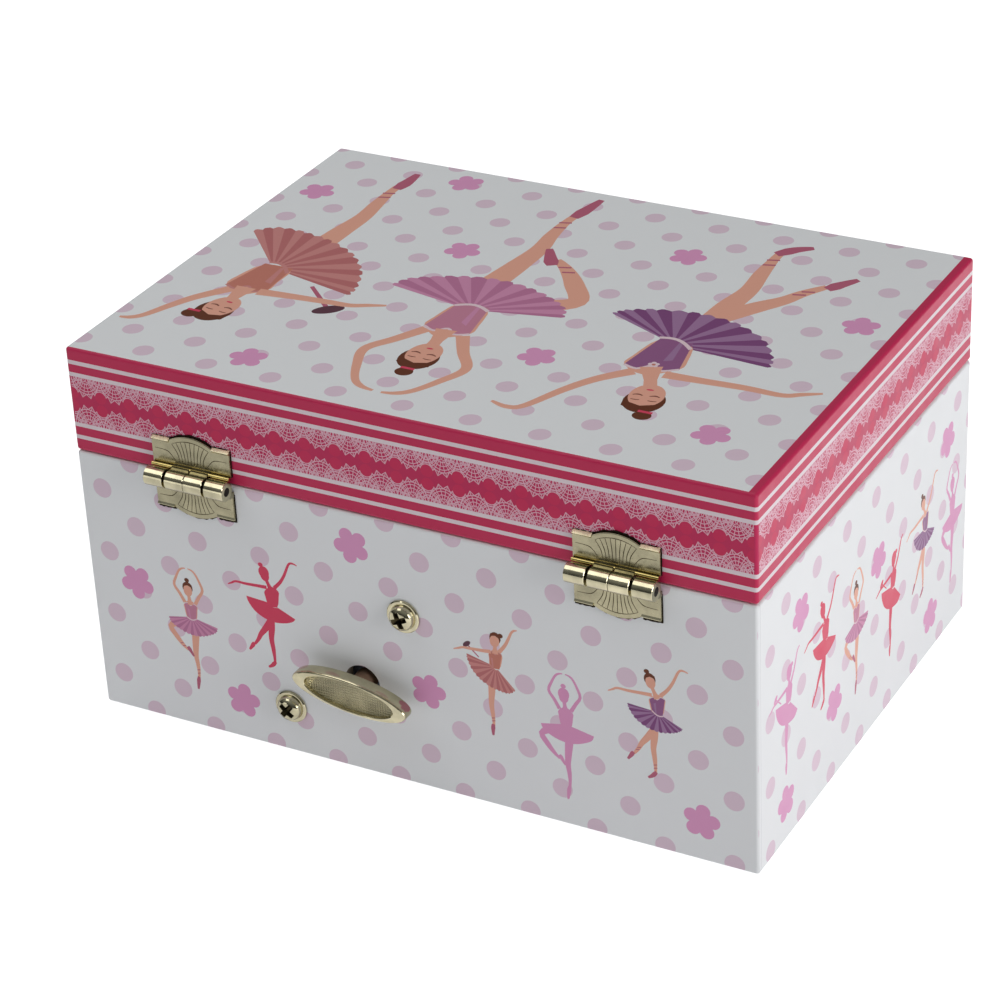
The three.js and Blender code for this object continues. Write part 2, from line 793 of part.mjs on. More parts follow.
// Brake wheel: its pinion meets the cylinder's gear, and its large wheel the worm.
const brakeLine = { y: AXIS_Y, z: BRAKE_Z };
function brakeWheel() {
  const pinion = gearShape(
    BRAKE_PINION.teeth,
    BRAKE_PINION.radius - 0.62,
    BRAKE_PINION.radius + 0.42,
    Math.PI + Math.PI / BRAKE_PINION.teeth,
    { root: 0.22, pitch: 0.18, tip: 0.09 },
  );
  const wheel = gearShape(
    WORM_WHEEL.teeth,
    WORM_WHEEL.radius - 0.65,
    WORM_WHEEL.radius + 0.42,
    -Math.PI / 2,
    { root: 0.22, pitch: 0.18, tip: 0.09 },
  );
  const lay = (shape, x0, x1) =>
    extruded(shape, x1 - x0).rotateY(Math.PI / 2).translate(x0, AXIS_Y, BRAKE_Z);
  return join(
    lay(pinion, -20.2, -19),
    lay(wheel, WORM_X - 0.6, WORM_X + 0.6),
    bar("x", -26.2, -17.6, brakeLine, 0.7, 12),
    bar("x", WORM_X, -20, brakeLine, 1.3, 12),
  );
}
add("governor_wheel", brakeWheel(), whitePlastic);

// Worm: one helical thread on a spindle that carries the two-vane fly.
const WORM_SIDES = 12;
function wormThread(turns, zMiddle) {
  const steps = Math.round(turns * WORM_SIDES);
  const halfRoot = 0.34;
  const halfTip = 0.14;
  const section = [
    [WORM.root - 0.25, -halfRoot],
    [WORM.tip, -halfTip],
    [WORM.tip, halfTip],
    [WORM.root - 0.25, halfRoot],
  ];
  const position = [];
  for (let i = 0; i <= steps; i++) {
    const angle = (i / WORM_SIDES) * 2 * Math.PI;
    const z = zMiddle + (i / WORM_SIDES - turns / 2) * WORM_LEAD;
    for (const [r, dz] of section) {
      position.push(r * Math.cos(angle), r * Math.sin(angle), z + dz);
    }
  }
  const index = [0, 1, 2, 0, 2, 3];
  for (let i = 0; i < steps; i++) {
    for (let k = 0; k < 4; k++) {
      const a = i * 4 + k;
      const b = i * 4 + ((k + 1) % 4);
      index.push(a, a + 4, b, b, a + 4, b + 4);
    }
  }
  const last = steps * 4;
  index.push(last, last + 2, last + 1, last, last + 3, last + 2);
  const g = new THREE.BufferGeometry();
  g.setAttribute("position", new THREE.Float32BufferAttribute(position, 3));
  g.setIndex(index);
  return g;
}
// The thread crosses +Y a quarter turn after its middle, and a gap must face the wheel.
const wormMiddle = BRAKE_Z + WORM_LEAD / 4;
add(
  "governor_worm",
  join(
    bar("z", 8, 17, {}, WORM.root, 12),
    wormThread(4, wormMiddle),
    bar("z", 5.1, 27.1, {}, 0.45, 8),
    block([-2.2, 2.2], [-0.25, 0.25], [16.8, 24.6]),
    bar("z", 16.6, 24.8, {}, 0.8, 12),
  ).translate(WORM_X, WORM_Y, 0),
  whitePlastic,
);

// Dancer's spindle: the crown pinion below, the round stage above the deck.
const STAGE = { low: 46.6, high: 48.2, radius: 8 };
const spindleZ = WIND.z + CROWN.radius;
add(
  "spindle",
  join(
    extruded(pinionShape, PINION_FACE).translate(0, 0, spindleZ - PINION_FACE / 2),
    bar("z", spindleZ - 1.4, STAGE.low + 0.5, {}, 1.5, 16),
    bar("z", STAGE.low, STAGE.high, {}, STAGE.radius, 36),
  ).translate(PIVOT.x, PIVOT.y, 0),
  whitePlastic,
);

// ---------------------------------------------------------------- stop wire
// It stands under the lid's edge and reaches round to the fly.
const stopRoute = new THREE.CurvePath();
const stopPoints = [
  [STOP.x, STOP.y, STOP.top],
  [STOP.x, STOP.y, STOP.arm],
  [STOP.x, WORM_Y, STOP.arm],
  [WORM_X - 3.1, WORM_Y, STOP.arm],
].map((p) => new THREE.Vector3(...p));
const BEND = 1.6;
let from = stopPoints[0];
for (let i = 1; i < stopPoints.length; i++) {
  const corner = stopPoints[i];
  const incoming = corner.clone().sub(stopPoints[i - 1]).normalize();
  if (i === stopPoints.length - 1) {
    stopRoute.add(new THREE.LineCurve3(from, corner));
  } else {
    const outgoing = stopPoints[i + 1].clone().sub(corner).normalize();
    const enter = corner.clone().addScaledVector(incoming, -BEND);
    const leave = corner.clone().addScaledVector(outgoing, BEND);
    stopRoute.add(new THREE.LineCurve3(from, enter));
    stopRoute.add(new THREE.QuadraticBezierCurve3(enter, corner, leave));
    from = leave;
  }
}
const wireSection = new THREE.Shape(
  new THREE.EllipseCurve(0, 0, STOP.radius, STOP.radius).getPoints(6).slice(0, -1),
);
add(
  "stop_wire",
  new THREE.ExtrudeGeometry(wireSection, { steps: 40, extrudePath: stopRoute }),
  steel,
);

// ---------------------------------------------------------------- dancer
// Built standing on the pivot, then laid forward, which is where the closed lid keeps it.
const dancer = new THREE.Group();
dancer.position.copy(PIVOT);
dancer.rotation.x = Math.PI / 2;
part.add(dancer);

// A helical wire spring about +Z.
function coil(radius, wire, z0, z1, turns) {
  const curve = new THREE.Curve();
  curve.getPoint = (t, target = new THREE.Vector3()) => {
    const angle = t * turns * 2 * Math.PI;
    return target.set(radius * Math.cos(angle), radius * Math.sin(angle), z0 + t * (z1 - z0));
  };
  const ring = new THREE.Shape(
    new THREE.EllipseCurve(0, 0, wire, wire).getPoints(5).slice(0, -1),
  );
  return new THREE.ExtrudeGeometry(ring, { steps: Math.round(turns * 12), extrudePath: curve });
}
add("dancer_spring", coil(1.7, 0.33, -2.1, 2.3, 4.5), steel, dancer);

// A limb: a tapering round bar between two points, with ball ends.
function limb(a, b, ra, rb) {
  const start = new THREE.Vector3(...a);
  const end = new THREE.Vector3(...b);
  const direction = end.clone().sub(start);
  const g = new THREE.CylinderGeometry(rb, ra, direction.length(), 7);
  g.translate(0, direction.length() / 2, 0);
  g.applyQuaternion(
    new THREE.Quaternion().setFromUnitVectors(
      new THREE.Vector3(0, 1, 0),
      direction.clone().normalize(),
    ),
  );
  g.translate(...a);
  return g;
}
function ball(at, r) {
  return new THREE.SphereGeometry(r, 9, 6).translate(...at);
}
const BODY = {
  foot: 2.9, hip: 23.5, waist: 27, chest: 31.4, shoulder: 33.4, head: 38.2, hand: 45.2,
};
function dancerBody() {
  const up = (points) => turned(points, 12).rotateX(Math.PI / 2);
  const pieces = [
    up([
      [0, BODY.foot],
      [2.6, BODY.foot],
      [2.6, BODY.foot + 1.1],
      [0, BODY.foot + 1.1],
    ]),
    up([
      [0, BODY.hip - 2],
      [2.2, BODY.hip - 1],
      [2.2, BODY.hip + 1.5],
      [1.7, BODY.waist],
      [2.4, BODY.chest],
      [2.1, BODY.shoulder],
      [0.8, BODY.shoulder + 0.9],
      [0.8, BODY.head - 1.5],
      [0, BODY.head - 1.5],
    ]),
    ball([0, 0, BODY.head], 2.6),
    ball([0, 0.4, BODY.head + 2.9], 1.2),
  ];
  for (const side of [-1, 1]) {
    const elbow = [side * 5.4, 0.3, BODY.shoulder + 5];
    const shoulder = [side * 2, 0, BODY.shoulder - 0.6];
    pieces.push(
      limb([side * 0.6, 0, BODY.foot + 0.6], [side * 0.95, 0, BODY.hip - 9], 0.55, 0.85),
      limb([side * 0.95, 0, BODY.hip - 9.2], [side * 1.1, 0, BODY.hip], 0.85, 1.15),
      limb(shoulder, elbow, 0.75, 0.6),
      ball(elbow, 0.62),
      limb(elbow, [side * 0.9, 0, BODY.hand], 0.6, 0.45),
      ball([side * 0.9, 0, BODY.hand], 0.5),
    );
  }
  pieces.push(limb([-0.9, 0, BODY.hand], [0.9, 0, BODY.hand], 0.45, 0.45));
  return join(...pieces);
}
add("dancer_body", dancerBody(), skin, dancer);
add(
  "dancer_tutu",
  turned([
    [2.7, 24.4],
    [7.6, 23.9],
    [12.2, 22.9],
    [12.2, 23.9],
    [7.6, 25.3],
    [2.7, 25.9],
    [2.7, 24.4],
  ], 32).rotateX(Math.PI / 2),
  tulle,
  dancer,
);

export default part;
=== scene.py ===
"""The looks of the musical jewellery box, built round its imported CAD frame.

Solids are in metres, as Blender's frame is. Drawings on the printed paper are in millimetres, each on
its own page: s runs to the right and t upwards, as a viewer outside that face sees it.
"""

import math
import random

import bmesh
import bpy
from mathutils import Matrix, Quaternion, Vector
from mathutils.geometry import delaunay_2d_cdt


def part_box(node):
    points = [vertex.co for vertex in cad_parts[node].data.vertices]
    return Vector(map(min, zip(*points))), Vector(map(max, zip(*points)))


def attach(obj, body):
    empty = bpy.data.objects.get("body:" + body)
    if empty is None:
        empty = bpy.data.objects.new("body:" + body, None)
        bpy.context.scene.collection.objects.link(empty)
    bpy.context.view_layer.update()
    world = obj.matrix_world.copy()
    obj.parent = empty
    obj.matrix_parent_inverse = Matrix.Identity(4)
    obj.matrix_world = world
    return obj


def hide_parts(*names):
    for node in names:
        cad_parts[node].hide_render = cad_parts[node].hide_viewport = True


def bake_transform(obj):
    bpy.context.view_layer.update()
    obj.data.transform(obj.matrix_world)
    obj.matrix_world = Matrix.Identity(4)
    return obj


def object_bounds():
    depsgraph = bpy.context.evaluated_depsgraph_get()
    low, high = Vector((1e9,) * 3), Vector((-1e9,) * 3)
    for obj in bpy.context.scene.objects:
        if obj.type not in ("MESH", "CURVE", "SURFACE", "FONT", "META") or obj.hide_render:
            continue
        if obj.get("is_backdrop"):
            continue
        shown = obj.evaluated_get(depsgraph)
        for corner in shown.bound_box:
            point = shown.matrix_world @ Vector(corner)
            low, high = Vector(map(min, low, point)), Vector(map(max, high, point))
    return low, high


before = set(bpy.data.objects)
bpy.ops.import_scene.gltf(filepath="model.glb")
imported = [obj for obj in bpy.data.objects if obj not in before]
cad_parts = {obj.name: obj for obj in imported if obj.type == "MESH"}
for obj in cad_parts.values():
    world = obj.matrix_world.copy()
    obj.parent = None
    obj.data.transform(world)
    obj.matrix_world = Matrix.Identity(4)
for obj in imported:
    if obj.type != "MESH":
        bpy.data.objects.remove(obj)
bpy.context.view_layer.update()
MM = 0.001


def box_mm(name):
    """The low and high corners of a CAD node's box, in millimetres."""
    return [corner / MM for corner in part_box(name)]


def middle_mm(name):
    low, high = box_mm(name)
    return (low + high) / 2


# ------------------------------------------------------------------ sizes, from the frame
wrap_low, wrap_high = box_mm("base_paper_wrap")
lid_low, lid_high = box_mm("lid_paper_wrap")
WIDTH = wrap_high.x - wrap_low.x
DEPTH = wrap_high.y - wrap_low.y
HEIGHT = lid_high.z
RIM = wrap_high.z
LID_FOOT = lid_low.z
HALF_W = WIDTH / 2
HALF_D = DEPTH / 2
WALL = HALF_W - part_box("liner_right")[1].x / MM
EDGE = 0.7
WIND = middle_mm("winding_key")


# ------------------------------------------------------------------ materials
def colour(red, green, blue):
    """An 0 to 255 screen colour as Blender's linear one."""
    shares = [c / 255 for c in (red, green, blue)]
    return [c / 12.92 if c < 0.04045 else ((c + 0.055) / 1.055) ** 2.4 for c in shares] + [1.0]


def feed(owner, socket, value):
    """Sets a socket, or links it where the value is another node's output."""
    if isinstance(value, bpy.types.NodeSocket):
        owner.node_tree.links.new(value, socket)
    else:
        socket.default_value = value


def node(owner, kind, **values):
    """A new node of a material or a world, with its sockets and settings given by name."""
    made = owner.node_tree.nodes.new("ShaderNode" + kind)
    for name, value in values.items():
        label = name.replace("_", " ")
        if label in made.inputs:
            feed(owner, made.inputs[label], value)
        else:
            setattr(made, name, value)
    return made


def calculate(owner, operation, *values):
    made = node(owner, "Math", operation=operation)
    for socket, value in zip(made.inputs, values):
        feed(owner, socket, value)
    return made.outputs[0]


NOISE_RANGE = (0.3, 0.7)


def spread(owner, source, low, high, across=NOISE_RANGE):
    """Stretches a value from its own range, across, to low to high."""
    limits = {"From_Min": across[0], "From_Max": across[1], "To_Min": low, "To_Max": high}
    return node(owner, "MapRange", Value=source, **limits).outputs["Result"]


def place_parts(owner, space="Object"):
    """The X, Y and Z of a place on the object, or of a direction in the sky."""
    place = node(owner, "TexCoord").outputs[space]
    return node(owner, "SeparateXYZ", Vector=place).outputs


def shader_of(mat):
    return mat.node_tree.nodes["Principled BSDF"]


def base_material(name, rgb, roughness, **values):
    mat = bpy.data.materials.new(name)
    mat.use_nodes = True
    for socket, value in {"Base_Color": colour(*rgb), "Roughness": roughness, **values}.items():
        shader_of(mat).inputs[socket.replace("_", " ")].default_value = value
    return mat


def noise(mat, scale, detail=3.0):
    """Noise in the object's own space, with scale in cycles per metre."""
    place = node(mat, "TexCoord").outputs["Object"]
    return node(mat, "TexNoise", Vector=place, Scale=scale, Detail=detail).outputs["Fac"]


def vary_roughness(mat, source, low, high):
    feed(mat, shader_of(mat).inputs["Roughness"], spread(mat, source, low, high))


def vary_colour(mat, source, first, second):
    ramp = node(mat, "Mix", data_type="RGBA", Factor=spread(mat, source, 0, 1))
    colours = [s for s in ramp.inputs if s.type == "RGBA"]
    for socket, rgb in zip(colours, (first, second)):
        socket.default_value = colour(*rgb)
    mixed = next(s for s in ramp.outputs if s.type == "RGBA")
    feed(mat, shader_of(mat).inputs["Base Color"], mixed)


def add_bump(mat, source, depth):
    """A relief whose depth is in millimetres."""
    bump = node(mat, "Bump", Height=source, Distance=depth * MM)
    feed(mat, shader_of(mat).inputs["Normal"], bump.outputs["Normal"])


def weave(mat, pitch):
    """A fine square weave: the sum of one sine along each axis."""
    waves = [
        calculate(mat, "SINE", calculate(mat, "MULTIPLY", part, 2 * math.pi / (pitch * MM)))
        for part in place_parts(mat)
    ]
    return calculate(mat, "ADD", calculate(mat, "ADD", *waves[:2]), waves[2])


def paper(name, rgb):
    """Coated paper with a faint grain."""
    mat = base_material(name, rgb, 0.4, Specular_IOR_Level=0.25)
    vary_roughness(mat, noise(mat, 300), 0.34, 0.46)
    add_bump(mat, noise(mat, 1800, 2), 0.006)
    return mat


def metal(name, rgb, low, high, metallic=1.0):
    """Plated metal, a little tarnished in patches."""
    tarnish = 0.84
    mat = base_material(name, rgb, low, Metallic=metallic)
    source = noise(mat, 1400, 5)
    vary_colour(mat, noise(mat, 300, 4), rgb, [c * tarnish for c in rgb])
    vary_roughness(mat, source, low, high)
    add_bump(mat, source, 0.003)
    return mat


def cloth(name, first, second, scale=1500, depth=0.12):
    sheen = {"Sheen_Weight": 0.6, "Sheen_Roughness": 0.4, "Sheen_Tint": colour(*second)}
    mat = base_material(name, first, 0.95, **sheen)
    source = noise(mat, scale, 6)
    vary_colour(mat, source, first, second)
    add_bump(mat, source, depth)
    return mat


def plastic(name, rgb, roughness, scale, low, high):
    mat = base_material(name, rgb, roughness)
    vary_roughness(mat, noise(mat, scale), low, high)
    return mat

INKS = {
    "paper": (236, 237, 239),
    "dot": (225, 201, 216),
    "flower": (224, 156, 198),
    "pink_deep": (196, 41, 85),
    "pink_dark": (192, 36, 86),
    "pink_chain": (201, 37, 85),
    "pink_pale": (230, 214, 220),
    "lace": (225, 178, 194),
    "red": (219, 63, 95),
    "orchid": (223, 152, 194),
    "orchid_dark": (188, 117, 155),
    "orchid_light": (209, 141, 177),
    "purple_dark": (126, 69, 122),
    "purple_light": (159, 117, 158),
    "plum": (146, 90, 136),
    "rose": (199, 130, 155),
    "salmon_dark": (188, 110, 111),
    "salmon_light": (206, 136, 133),
    "amber": (200, 124, 108),
    "trim": (232, 206, 214),
    "skin": (232, 169, 147),
    "hair": (100, 44, 13),
    "shoe": (186, 96, 122),
    "line": (128, 70, 56),
    "fan": (92, 50, 66),
    "fold": (206, 207, 210),
}
inks = {name: paper("print_" + name, rgb) for name, rgb in INKS.items()}
nickel_gold = metal("nickel_gold", (170, 163, 135), 0.14, 0.3)
polished = metal("polished_nickel", (208, 200, 168), 0.06, 0.17)
# A brighter, yellower copy of the leaf's metal for the lip under each leaf: a painted highlight along the
# lip. Its low roughness is the lip's own.
lip_painted_highlight = metal("lip_painted_highlight", (204, 184, 118), 0.1, 0.2)
# Dark metal painted where the hinges' stamped grooves and the screws' cross recesses lie in shade: painted
# shade.
painted_groove_shade = metal("painted_groove_shade", (74, 66, 46), 0.3, 0.5)
# Dark metal for a ragged plate behind each hinge leaf: partly the leaf's sheared edge and tarnish, partly
# painted shadow where the leaf meets the wall.
sheared_edge_and_shade = metal("sheared_edge_and_painted_shadow", (46, 38, 28), 0.5, 0.8)
pebbled = metal("pebbled_gold", (186, 178, 148), 0.3, 0.48)
add_bump(pebbled, weave(pebbled, 0.56), 0.055)
steel = metal("steel", (186, 188, 192), 0.2, 0.38)
dark_steel = metal("dark_steel", (44, 40, 34), 0.4, 0.6)
shaft_steel = metal("shaft_steel", (188, 152, 128), 0.34, 0.52, metallic=0.6)
blued_steel = metal("blued_steel", (96, 100, 108), 0.35, 0.55)
brass = metal("brass", (206, 180, 120), 0.2, 0.36)
board = cloth("greyboard", (150, 142, 128), (132, 124, 110), 500, 0.05)
velour = cloth("velour", (214, 128, 166), (232, 160, 192))
foam = cloth("foam_velour", (218, 136, 172), (238, 172, 200))
white_plastic = plastic("white_plastic", (226, 220, 208), 0.35, 500, 0.3, 0.5)
FIGURE_PAINT = {
    "skin": (236, 184, 156),
    "hair": (92, 54, 36),
    "bodice": (214, 100, 150),
    "shoe": (206, 96, 140),
}
figure_paint = {}
for name, rgb in FIGURE_PAINT.items():
    figure_paint[name] = plastic("figure_" + name, rgb, 0.34, 700, 0.28, 0.45)
    add_bump(figure_paint[name], noise(figure_paint[name], 900), 0.02)
tulle = base_material("tulle", (240, 178, 206), 0.6, Alpha=0.82, Sheen_Weight=0.5)
add_bump(tulle, weave(tulle, 0.5), 0.08)
mirror_glass = base_material("mirror_glass", (226, 232, 236), 0.02, Metallic=1.0)
vary_roughness(mirror_glass, noise(mirror_glass, 60), 0.01, 0.04)


# ------------------------------------------------------------------ meshes
def smooth(obj):
    obj.data.polygons.foreach_set("use_smooth", [True] * len(obj.data.polygons))


def mesh_object(name, points, faces, materials, slots=None):
    """A mesh from points in millimetres."""
    data = bpy.data.meshes.new(name)
    data.from_pydata([Vector(p) * MM for p in points], [], faces)
    for mat in materials:
        data.materials.append(mat)
    if slots:
        data.polygons.foreach_set("material_index", slots)
    obj = bpy.data.objects.new(name, data)
    bpy.context.scene.collection.objects.link(obj)
    data.update()
    return obj


def loft(rings, closed_ends=True):
    """Points and faces that join rings of equal length, first to last."""
    count = len(rings[0])
    points = [p for ring in rings for p in ring]
    faces = []
    for i in range(len(rings) - 1):
        for k in range(count):
            a = i * count + k
            b = i * count + (k + 1) % count
            faces.append((a, b, b + count, a + count))
    if closed_ends:
        faces.append(tuple(reversed(range(count))))
        faces.append(tuple(range(len(points) - count, len(points))))
    return points, faces


# ------------------------------------------------------------------ drawing on pages
def catmull(points, steps, closed=False):
    """A smooth curve through the points."""
    ring = list(points)
    if closed:
        ring = [ring[-1], *ring, ring[0], ring[1]]
    else:
        ring = [ring[0], *ring, ring[-1]]
    curve = []
    for a, b, c, d in zip(ring, ring[1:], ring[2:], ring[3:]):
        for i in range(steps):
            x = i / steps
            curve.append(tuple(
                0.5 * (2 * q + (r - p) * x + (2 * p - 5 * q + 4 * r - s) * x * x
                       + (3 * q - p - 3 * r + s) * x**3)
                for p, q, r, s in zip(a, b, c, d)
            ))
    if not closed:
        curve.append(tuple(points[-1]))
    return curve


def turns(sides):
    """Angles in equal steps, all the way round."""
    return [2 * math.pi * k / sides for k in range(sides)]


def polar(centre, radius, angle):
    return centre[0] + radius * math.cos(angle), centre[1] + radius * math.sin(angle)


def rectangle(left, bottom, right, top):
    return [(left, bottom), (right, bottom), (right, top), (left, top)]


def ellipse(centre, across, up, tilt=0.0, sides=20):
    turn = math.radians(tilt)
    ring = []
    for angle in turns(sides):
        x, y = across * math.cos(angle), up * math.sin(angle)
        ring.append((
            centre[0] + x * math.cos(turn) - y * math.sin(turn),
            centre[1] + x * math.sin(turn) + y * math.cos(turn),
        ))
    return ring


def ribbon(path, widths):
    """The outline of a stroke whose width changes along its path."""
    left, right = [], []
    last = len(path) - 1
    for i, (x, y) in enumerate(path):
        ahead = path[min(i + 1, last)]
        behind = path[max(i - 1, 0)]
        dx, dy = ahead[0] - behind[0], ahead[1] - behind[1]
        size = math.hypot(dx, dy) or 1
        share = i / last * (len(widths) - 1)
        k = min(int(share), len(widths) - 2)
        half = (widths[k] + (widths[k + 1] - widths[k]) * (share - k)) / 2
        left.append((x - dy / size * half, y + dx / size * half))
        right.append((x + dy / size * half, y - dx / size * half))
    return right + left[::-1]


def arc(centre, radius, start, end, steps):
    return [polar(centre, radius, start + (end - start) * i / steps) for i in range(steps + 1)]


class Page:
    """A flat sheet of print. Each shape is laid on top of the ones before it."""

    def __init__(self, left, bottom, right, top, ink="paper"):
        self.points, self.loops, self.inks, self.creases = [], [], [], []
        self.box = (left, bottom, right, top)
        self.shape(ink, rectangle(*self.box))

    def shape(self, ink, outline):
        area = sum(a[0] * b[1] - b[0] * a[1] for a, b in zip(outline, outline[1:] + outline[:1]))
        if area < 0:
            outline = outline[::-1]
        start = len(self.points)
        self.points += [Vector(p) for p in outline]
        self.loops.append(list(range(start, len(self.points))))
        self.inks.append(ink)

    def stroke(self, ink, path, *widths):
        self.shape(ink, ribbon(path, widths if len(widths) > 1 else widths * 2))

    def crease(self, *ends):
        self.creases.append((len(self.points), len(self.points) + 1))
        self.points += [Vector(p) for p in ends]

    def crease_edges(self, sides="lrbt"):
        """Lines along the page's edges, where it will wrap round the case's corners."""
        left, bottom, right, top = self.box
        for turn in (45, 30, 15):
            d = EDGE * math.tan(math.radians(turn))
            lines = {
                "l": ((left + d, bottom), (left + d, top)),
                "r": ((right - d, bottom), (right - d, top)),
                "b": ((left, bottom + d), (right, bottom + d)),
                "t": ((left, top - d), (right, top - d)),
            }
            for side, ends in lines.items():
                if side in sides:
                    self.crease(*ends)

    def triangles(self):
        points, _, faces, _, _, owners = delaunay_2d_cdt(self.points, self.creases, self.loops, 1, 1e-4)
        kept = [(f, self.inks[max(o)]) for f, o in zip(faces, owners) if 0 in o]
        return points, [(f, ink) for f, ink in kept if ink != "hole"]


class Shell:
    """Printed paper on a box whose corners are slightly rounded."""

    def __init__(self, low, high):
        self.low = Vector(low)
        self.high = Vector(high)
        self.points, self.normals, self.faces, self.inks = [], [], [], []

    def lay(self, sheet, place, shift=0.0):
        """Adds a page's triangles. place turns (s, t) into a point on the sharp box."""
        start = len(self.points)
        for s, t in sheet[0]:
            point = Vector(place(s + shift, t))
            inner = Vector(
                min(max(p, a + EDGE), b - EDGE) for p, a, b in zip(point, self.low, self.high)
            )
            out = (point - inner).normalized()
            self.points.append(inner + out * EDGE)
            self.normals.append(out)
        for face, ink in sheet[1]:
            self.faces.append([start + i for i in face])
            self.inks.append(ink)

    def build(self, name):
        used = sorted(set(self.inks))
        slots = [used.index(ink) for ink in self.inks]
        obj = mesh_object(name, self.points, self.faces, [inks[n] for n in used], slots)
        smooth(obj)
        obj.data.normals_split_custom_set_from_vertices(self.normals)
        return obj


PLACES = {
    "back": lambda s, t: (HALF_W - s, HALF_D, t),
    "left": lambda s, t: (-HALF_W, HALF_D - s, t),
    "front": lambda s, t: (s - HALF_W, -HALF_D, t),
    "right": lambda s, t: (HALF_W, s - HALF_D, t),
    "top": lambda s, t: (s - HALF_W, t - HALF_D, HEIGHT),
    "rim": lambda s, t: (s - HALF_W, t - HALF_D, RIM),
    "underside": lambda s, t: (HALF_W - s, t - HALF_D, 0),
    "lid_foot": lambda s, t: (HALF_W - s, t - HALF_D, LID_FOOT),
}
SIDES = ("back", "left", "front", "right")


# ------------------------------------------------------------------ the print's motifs
DOT = {"radius": 2.2, "pitch": 14.7, "rows": 7.35}


def draw_dots(page, first_s, first_t, step):
    """Dots in rows. Every second row is moved along by half the pitch."""
    left, bottom, right, top = page.box
    row = 0
    while bottom - DOT["radius"] < first_t + step * row * DOT["rows"] < top + DOT["radius"]:
        t = first_t + step * row * DOT["rows"]
        s = first_s + (row % 2) * DOT["pitch"] / 2 - 2 * DOT["pitch"]
        while s < right + DOT["radius"]:
            if s > left - DOT["radius"]:
                page.shape("dot", ellipse((s, t), DOT["radius"], DOT["radius"], 0, 24))
            s += DOT["pitch"]
        row += 1


PETAL = {"radius": 1.55, "out": 2.45, "half_turn": math.radians(104)}


def draw_flower(page, s, t, tilt):
    """Five round petals, each an arc between its two notches."""
    ring = []
    for k in range(5):
        way = math.radians(tilt + 72 * k)
        centre = polar((s, t), PETAL["out"], way)
        ring += arc(centre, PETAL["radius"], way - PETAL["half_turn"], way + PETAL["half_turn"], 9)
    page.shape("flower", ring)


# Each pose is drawn at the size of the lid's dancers, about its waist. Limbs are lists of points.
RING_POSE = {
    "waist": (83.6, 60),
    "tutu": [(65, 57.8), (66.6, 54), (71, 51), (77, 48.6), (84, 47.6), (91, 48.6), (97, 51),
             (101.8, 54), (103.4, 57.8)],
    "waist_ends": ((79.8, 61), (87.4, 61)),
    "bust": ((78.4, 71.4), (88.6, 71.4)),
    "head": (82.5, 83, 0),
    "bun": (82.4, 90.6),
    "arms": [
        [(79.2, 72.6), (75.6, 79), (71.8, 85), (74, 91.5), (76.8, 97), (79.4, 99.2), (82.2, 99.9)],
        [(87.4, 72.6), (91, 79), (94.4, 85), (92.4, 91.5), (89.6, 97), (87, 99.2), (84, 99.9)],
    ],
    "legs": [
        [(85.4, 50), (84.4, 40), (83.8, 31), (84.6, 24), (84.8, 17), (84.3, 12)],
        [(72, 55), (65.4, 50.2), (69.6, 43), (74, 37.6), (78, 34)],
    ],
    "leg_widths": [(6.4, 5.2, 4, 3.2, 2.2, 1.9), (5.4, 4.4, 4.2, 3, 1.6)],
    "shoes": [[(84.4, 14), (83.6, 9), (82.9, 3.6)], [(77.8, 36.8), (79.6, 34), (82, 29.8)]],
}
OPEN_POSE = {
    "waist": (39.4, 58.5),
    "tutu": [(18.6, 61.6), (20, 57), (25, 50.8), (32.6, 46.8), (40.6, 45.8), (48.4, 47.2),
             (54, 49.6), (56.2, 52.2)],
    "waist_ends": ((35.4, 60.4), (43.2, 58)),
    "bust": ((33.8, 69), (44.6, 71)),
    "head": (34.8, 81.8, 8),
    "bun": (32.2, 88.8),
    "arms": [
        [(35.6, 72), (28, 71.6), (19, 71), (11.4, 71), (8, 69.2), (4.6, 67.4)],
        [(41.6, 73), (46.8, 78.8), (50.6, 85.4), (54.4, 94), (57.4, 95.6), (61, 94.6)],
    ],
    "legs": [
        [(36.6, 48), (36.6, 40), (35.8, 32), (36.6, 24), (37, 17), (37, 14)],
        [(36.4, 46), (31.4, 38.6), (27.6, 33.6), (25.2, 29), (22, 24.4)],
    ],
    "leg_widths": [(6.4, 5.2, 4, 3.4, 2.2, 2), (5.2, 4.6, 3.6, 2.8, 1.8)],
    "shoes": [[(37.6, 14.2), (34.8, 10.8), (31.6, 8.6)], [(21.6, 25.4), (19.8, 22.4), (17.4, 19)]],
}
FAN_POSE = {
    "waist": (130, 59.6),
    "tutu": [(110, 65.4), (110.6, 60.6), (114, 53.6), (119.6, 48), (126.4, 44.6), (133, 43),
             (139.6, 42.8), (144.2, 46.2)],
    "waist_ends": ((126.6, 61.4), (132.8, 58.2)),
    "bust": ((126.2, 70), (135.6, 70.6)),
    "head": (130.8, 80.6, -8),
    "bun": (135.2, 85),
    "arms": [
        [(127.6, 71.2), (120, 70.4), (112, 69.8), (107, 69.4), (103.6, 68), (100, 66.6)],
        [(133.6, 72.2), (138.2, 78.4), (141, 84), (143.4, 89.4), (145.4, 91.4), (147.6, 92)],
    ],
    "legs": [[(127.4, 48), (126.8, 39), (126.2, 31), (126.8, 24), (127.2, 18), (127.2, 14)]],
    "leg_widths": [(5.8, 4.8, 3.8, 3.2, 2.2, 1.9)],
    "shoes": [[(126.8, 15.4), (126.4, 11), (126.4, 6.6)]],
    "fan": ((110, 72.8), (118.6, 64.8)),
}
DRESS = {
    "purple": ("purple_dark", "purple_light", "plum", "trim"),
    "orchid_dress": ("orchid_dark", "orchid_light", "rose", "trim"),
    "salmon": ("salmon_dark", "salmon_light", "amber", "salmon_light"),
}
PLEATS = 18
FIFTH = 1.257  # of a turn, in radians


